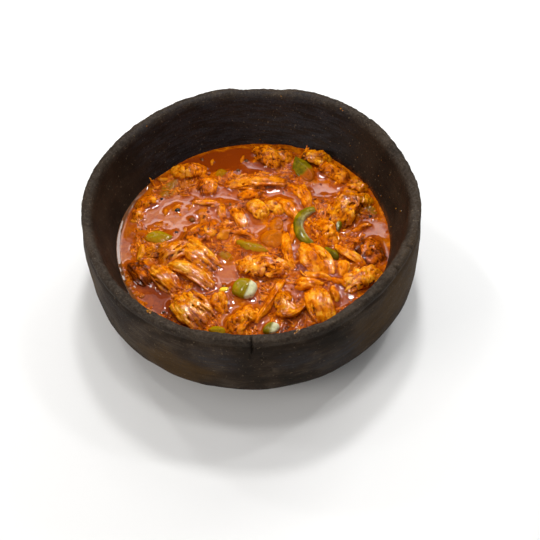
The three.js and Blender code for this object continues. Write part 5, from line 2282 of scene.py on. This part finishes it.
def random_spot(rng: Random, reach: float) -> Array:
    """A place on the broth no further out than `reach`, as one row of X, Y and 0."""
    radius, angle = reach * math.sqrt(rng.random()), rng.uniform(-math.pi, math.pi)
    return np.array([[radius * math.cos(angle), radius * math.sin(angle), 0.0]])


@dataclass
class Drift:
    """Loose shreds that float flat in the busy stretches, most of them half under."""

    broth: Broth
    clumps: int = 330
    reach: float = 96.0

    def strands(self, rng: Random) -> list[Strand]:
        """Lays the shreds out in small clumps.

        Args:
            rng: The random numbers.

        Returns:
            The shreds.
        """
        found = []
        clumps = 0
        while clumps < self.clumps:
            spot = random_spot(rng, self.reach)
            busy = float(self.broth.read(self.broth.busy, spot)[0])
            tall = float(self.broth.read(self.broth.covered, spot)[0])
            if rng.random() > busy**4 or tall > 0.5:
                continue
            clumps += 1
            heading = rng.uniform(0, 180)
            for _ in range(rng.integers(1, 5)):
                long = rng.uniform(2.5, 11)
                thick = rng.uniform(0.5, 1.6)
                row = Lying(spot[0, 0] + rng.normal(0, 1.8), spot[0, 1] + rng.normal(0, 1.8), long, thick,
                            0.5, heading + rng.normal(0, 22), rng.uniform(-70, 70))
                if math.hypot(row.x, row.y) + long / 2 > self.reach + 2:
                    continue
                step = np.linspace(-1, 1, 9)
                slim = thick * (1 - 0.5 * np.abs(step) ** 3) * (1 + 0.15 * np.sin(step * 9 + long))
                top = rng.uniform(0.1, 1.1) + rng.uniform(-0.4, 0.4) * step
                found.append(Strand(row.place(step * long / 2, 0 * step, top - slim * 0.8), slim, 0.8))
        return found

    def build(self, material: Material) -> SceneObject:
        """Builds the shreds as one piece.

        Args:
            material: The meat's finish.

        Returns:
            The piece.
        """
        rng = np.random.default_rng(23)
        strands = self.strands(rng)
        form = joined([strand.noted(number, float(rng.uniform(-0.9, 0.3)), 6)
                       for number, strand in enumerate(strands)])
        rough = 0.22 * NOISE.layered(form.points, 1.8)
        form.push(rough)
        return add_piece("drifting_shreds", form.mesh("drifting_shreds"), material, [])


def calm_pools() -> list[Pool]:
    """The stretches where the broth shows a clear reflection."""
    # A sixth number darkens a pool: partly deeper sauce and partly painted shade.
    rows = [(-22, 84, 56, 18, 12, 0.7), (4, 73, 34, 10, 0, 0.6), (54, 60, 16, 10, 0), (-65, 33, 48, 28, 10),
            (-54, 22, 24, 32, 0), (-24, 47, 36, 15, -16), (-27, 28, 9, 18, 0), (-17, 28, 8, 30, 65),
            (2, 12, 28, 11, -50), (27, 0, 38, 6, 95), (30, -13, 9, 15, 60), (25, 41, 30, 10, -25),
            (36, 31, 12, 6, -60), (56, 45, 22, 12, -5), (88, 2, 22, 15, -30, 0.15), (93, -16, 26, 6, -75),
            (76, -1, 16, 5, -10), (46, -37, 36, 7, -24), (29, -51, 22, 7, -20), (-24, -30, 24, 18, -50),
            (-31, -45, 34, 9, 4), (-70, -51, 30, 15, -48, 0.45), (2, -76, 9, 15, 0), (-20, -67, 9, 22, -20),
            (58, -54, 7, 14, 0), (62, -62, 15, 7, 30), (-96, 8, 12, 60, 0), (-56, 4, 26, 6, 8),
            (68, -43, 9, 8, 0), (-2, -56, 7, 8, 0), (-85, -40, 20, 7, -60)]
    return [Pool(*row) for row in rows]


def crumbs(broth: Broth) -> list[Scatter]:
    """Crumbs of meat and loose fibres, near the pieces and here and there in the open broth.

    Args:
        broth: The settled broth that they lie in.

    Returns:
        The crumbs and the fibres.
    """
    rng = np.random.default_rng(11)
    small = Scatter("meat_crumbs", Bit.ROUND, Slot.MEAT, 0.9, 5)
    thin = Scatter("loose_fibres", Bit.FIBRE, Slot.MEAT, 0.4, 9)
    while len(small.places) < CRUMBS or len(thin.places) < FIBRES:
        spot = random_spot(rng, CRUMB_REACH)
        near = float(broth.read(broth.near, spot)[0])
        busy = float(broth.read(broth.busy, spot)[0])
        if near > 0.97 or rng.random() > busy * (0.2 + 0.8 * near) + 0.015:
            continue
        level = BROTH_LEVEL + float(broth.read(broth.level, spot)[0])
        tone = float(rng.uniform(-0.8, 0.4))
        if rng.random() < 0.68 and len(small.places) < CRUMBS:
            size = float(rng.uniform(0.9, 2.6))
            small.add((spot[0, 0], spot[0, 1], level - 0.1 * size), (size * 1.5, size, size * 0.7),
                      (0.0, 0.0, float(rng.uniform(0, 6.3))), tone)
        elif len(thin.places) < FIBRES:
            long = float(rng.uniform(3.0, 8.0))
            thin.add((spot[0, 0], spot[0, 1], level - 0.3), (long, long, long * 0.55),
                     (0.0, 0.0, float(rng.uniform(0, 6.3))), tone)
    return [small, thin]


def rim_crumbs(pot: Pot) -> Scatter:
    """Dried crumbs of food on the rim and on the inner wall."""
    dried = Scatter("dried_crumbs", Bit.ROUND, Slot.MEAT, 0.7, 13)
    rng = np.random.default_rng(21)
    for angle, size in ((-78.5, 2.0), (-127.2, 2.6), (131.8, 2.4), (126.3, 2.8), (144.0, 1.8), (49.5, 2.6),
                        (117.0, 2.0), (78.0, 2.6), (75.0, 3.0), (72.0, 2.2), (128.5, 1.6)):
        turn = math.radians(angle)
        radius = pot.lip_radius - 4.5 + float(pot.wave_at(np.array([turn]))[0])
        drop = pot.worn_drop * float(pot.worn.share(np.array([turn]))[0])
        for _ in range(5):
            east, north = rng.normal(0, size * 0.4, 2)
            flake = size * float(rng.uniform(0.35, 0.75))
            spot = (radius * math.cos(turn) + east, radius * math.sin(turn) + north)
            dried.add((*spot, pot.height - drop - 0.2), (flake * 1.5, flake, flake * 0.4),
                      (0, 0, float(rng.uniform(0, 6))), 0.0)
    for _ in range(14):
        turn = float(rng.uniform(-0.2, 1.6))
        height = BROTH_LEVEL + float(rng.uniform(4, 30))
        radius = float(pot.wall_radius(np.array([turn]), height)[0])
        size = float(rng.uniform(0.4, 1.1))
        dried.add((radius * math.cos(turn), radius * math.sin(turn), height), (size, size, size), tone=0.2)
    dried.add((77, 72, 46), (2.4, 2.0, 1.8), (0, 0, 0), 0.9)
    return dried


def fat_droplets(broth: Broth) -> Scatter:
    """Droplets of fat that float at the left wall.

    Args:
        broth: The settled broth that they float on.

    Returns:
        The droplets.
    """
    drops = Scatter("fat_droplets", Bit.ROUND, Slot.BROTH, 0.0, 17)
    rows = [(-91, -34, 6.5), (-86, -44, 5), (-82, -46, 4.5), (-88, -39, 3), (-93, -27, 3.5), (-17, 36, 3),
            (-79, -53, 3), (-75, -57, 2.5), (-84, -51, 2.2)]
    for x, y, size in rows:
        level = BROTH_LEVEL + float(broth.read(broth.level, np.array([[x, y, 0.0]]))[0])
        drops.add((x, y, level), (size, size, size * 0.35), (0, 0, 0), -0.7)
    return drops


def main() -> None:
    """Builds the pot, the food, the broth and the studio."""
    logging.basicConfig(level=logging.INFO, format="%(name)s: %(message)s")
    Studio().build()
    group = build_grain_group()
    clay = ClayFinish().build(group)
    sauce = BrothFinish().build(group)
    meat = MeatFinish("stewed_meat").build(group)
    # The pepper's pale colour serves both its cut flesh and a painted highlight.
    pepper = SkinFinish("green_pepper", (0.10, 0.074, 0.001), (0.27, 0.185, 0.0006), (0.36, 0.15, 0.0005),
                        (0.62, 0.60, 0.36)).build(group)
    onion = SkinFinish("soft_onion", (0.36, 0.075, 0.0004), (0.52, 0.130, 0.0005), (0.70, 0.25, 0.004),
                       (0.85, 0.56, 0.03)).build(group)
    corn = SpeckFinish().build(group)
    dried = MeatFinish("dried_crumb", (0.05, 0.016, 0.002), (0.12, 0.042, 0.003), (0.21, 0.076, 0.005),
                       (0.30, 0.125, 0.01), (0.42, 0.21, 0.03)).build(group)
    pot = Pot()
    pot.build(clay)
    food = [piece.build(meat) for piece in meat_pieces()]
    food += [piece.build(meat) for piece in splinters()]
    food += [piece.build(pepper) for piece in pepper_pieces()]
    food.append(PepperRing(40, 8, 44, 6.6, 5.5, 262, 135).build(pepper))
    food += [piece.build(onion) for piece in onion_pieces()]
    food += [piece.build(onion) for piece in soft_bits()]
    food.append(peppercorns().build(corn))
    broth = Broth(pot, calm_pools(), sunken_pieces())
    broth.survey(food)
    food.append(Drift(broth).build(meat))
    broth.survey(food)
    broth.settle()
    broth.build(sauce)
    for scatter in crumbs(broth):
        scatter.build(meat)
    rim_crumbs(pot).build(dried)
    fat_droplets(broth).build(onion)


if __name__ == "__main__":
    main()
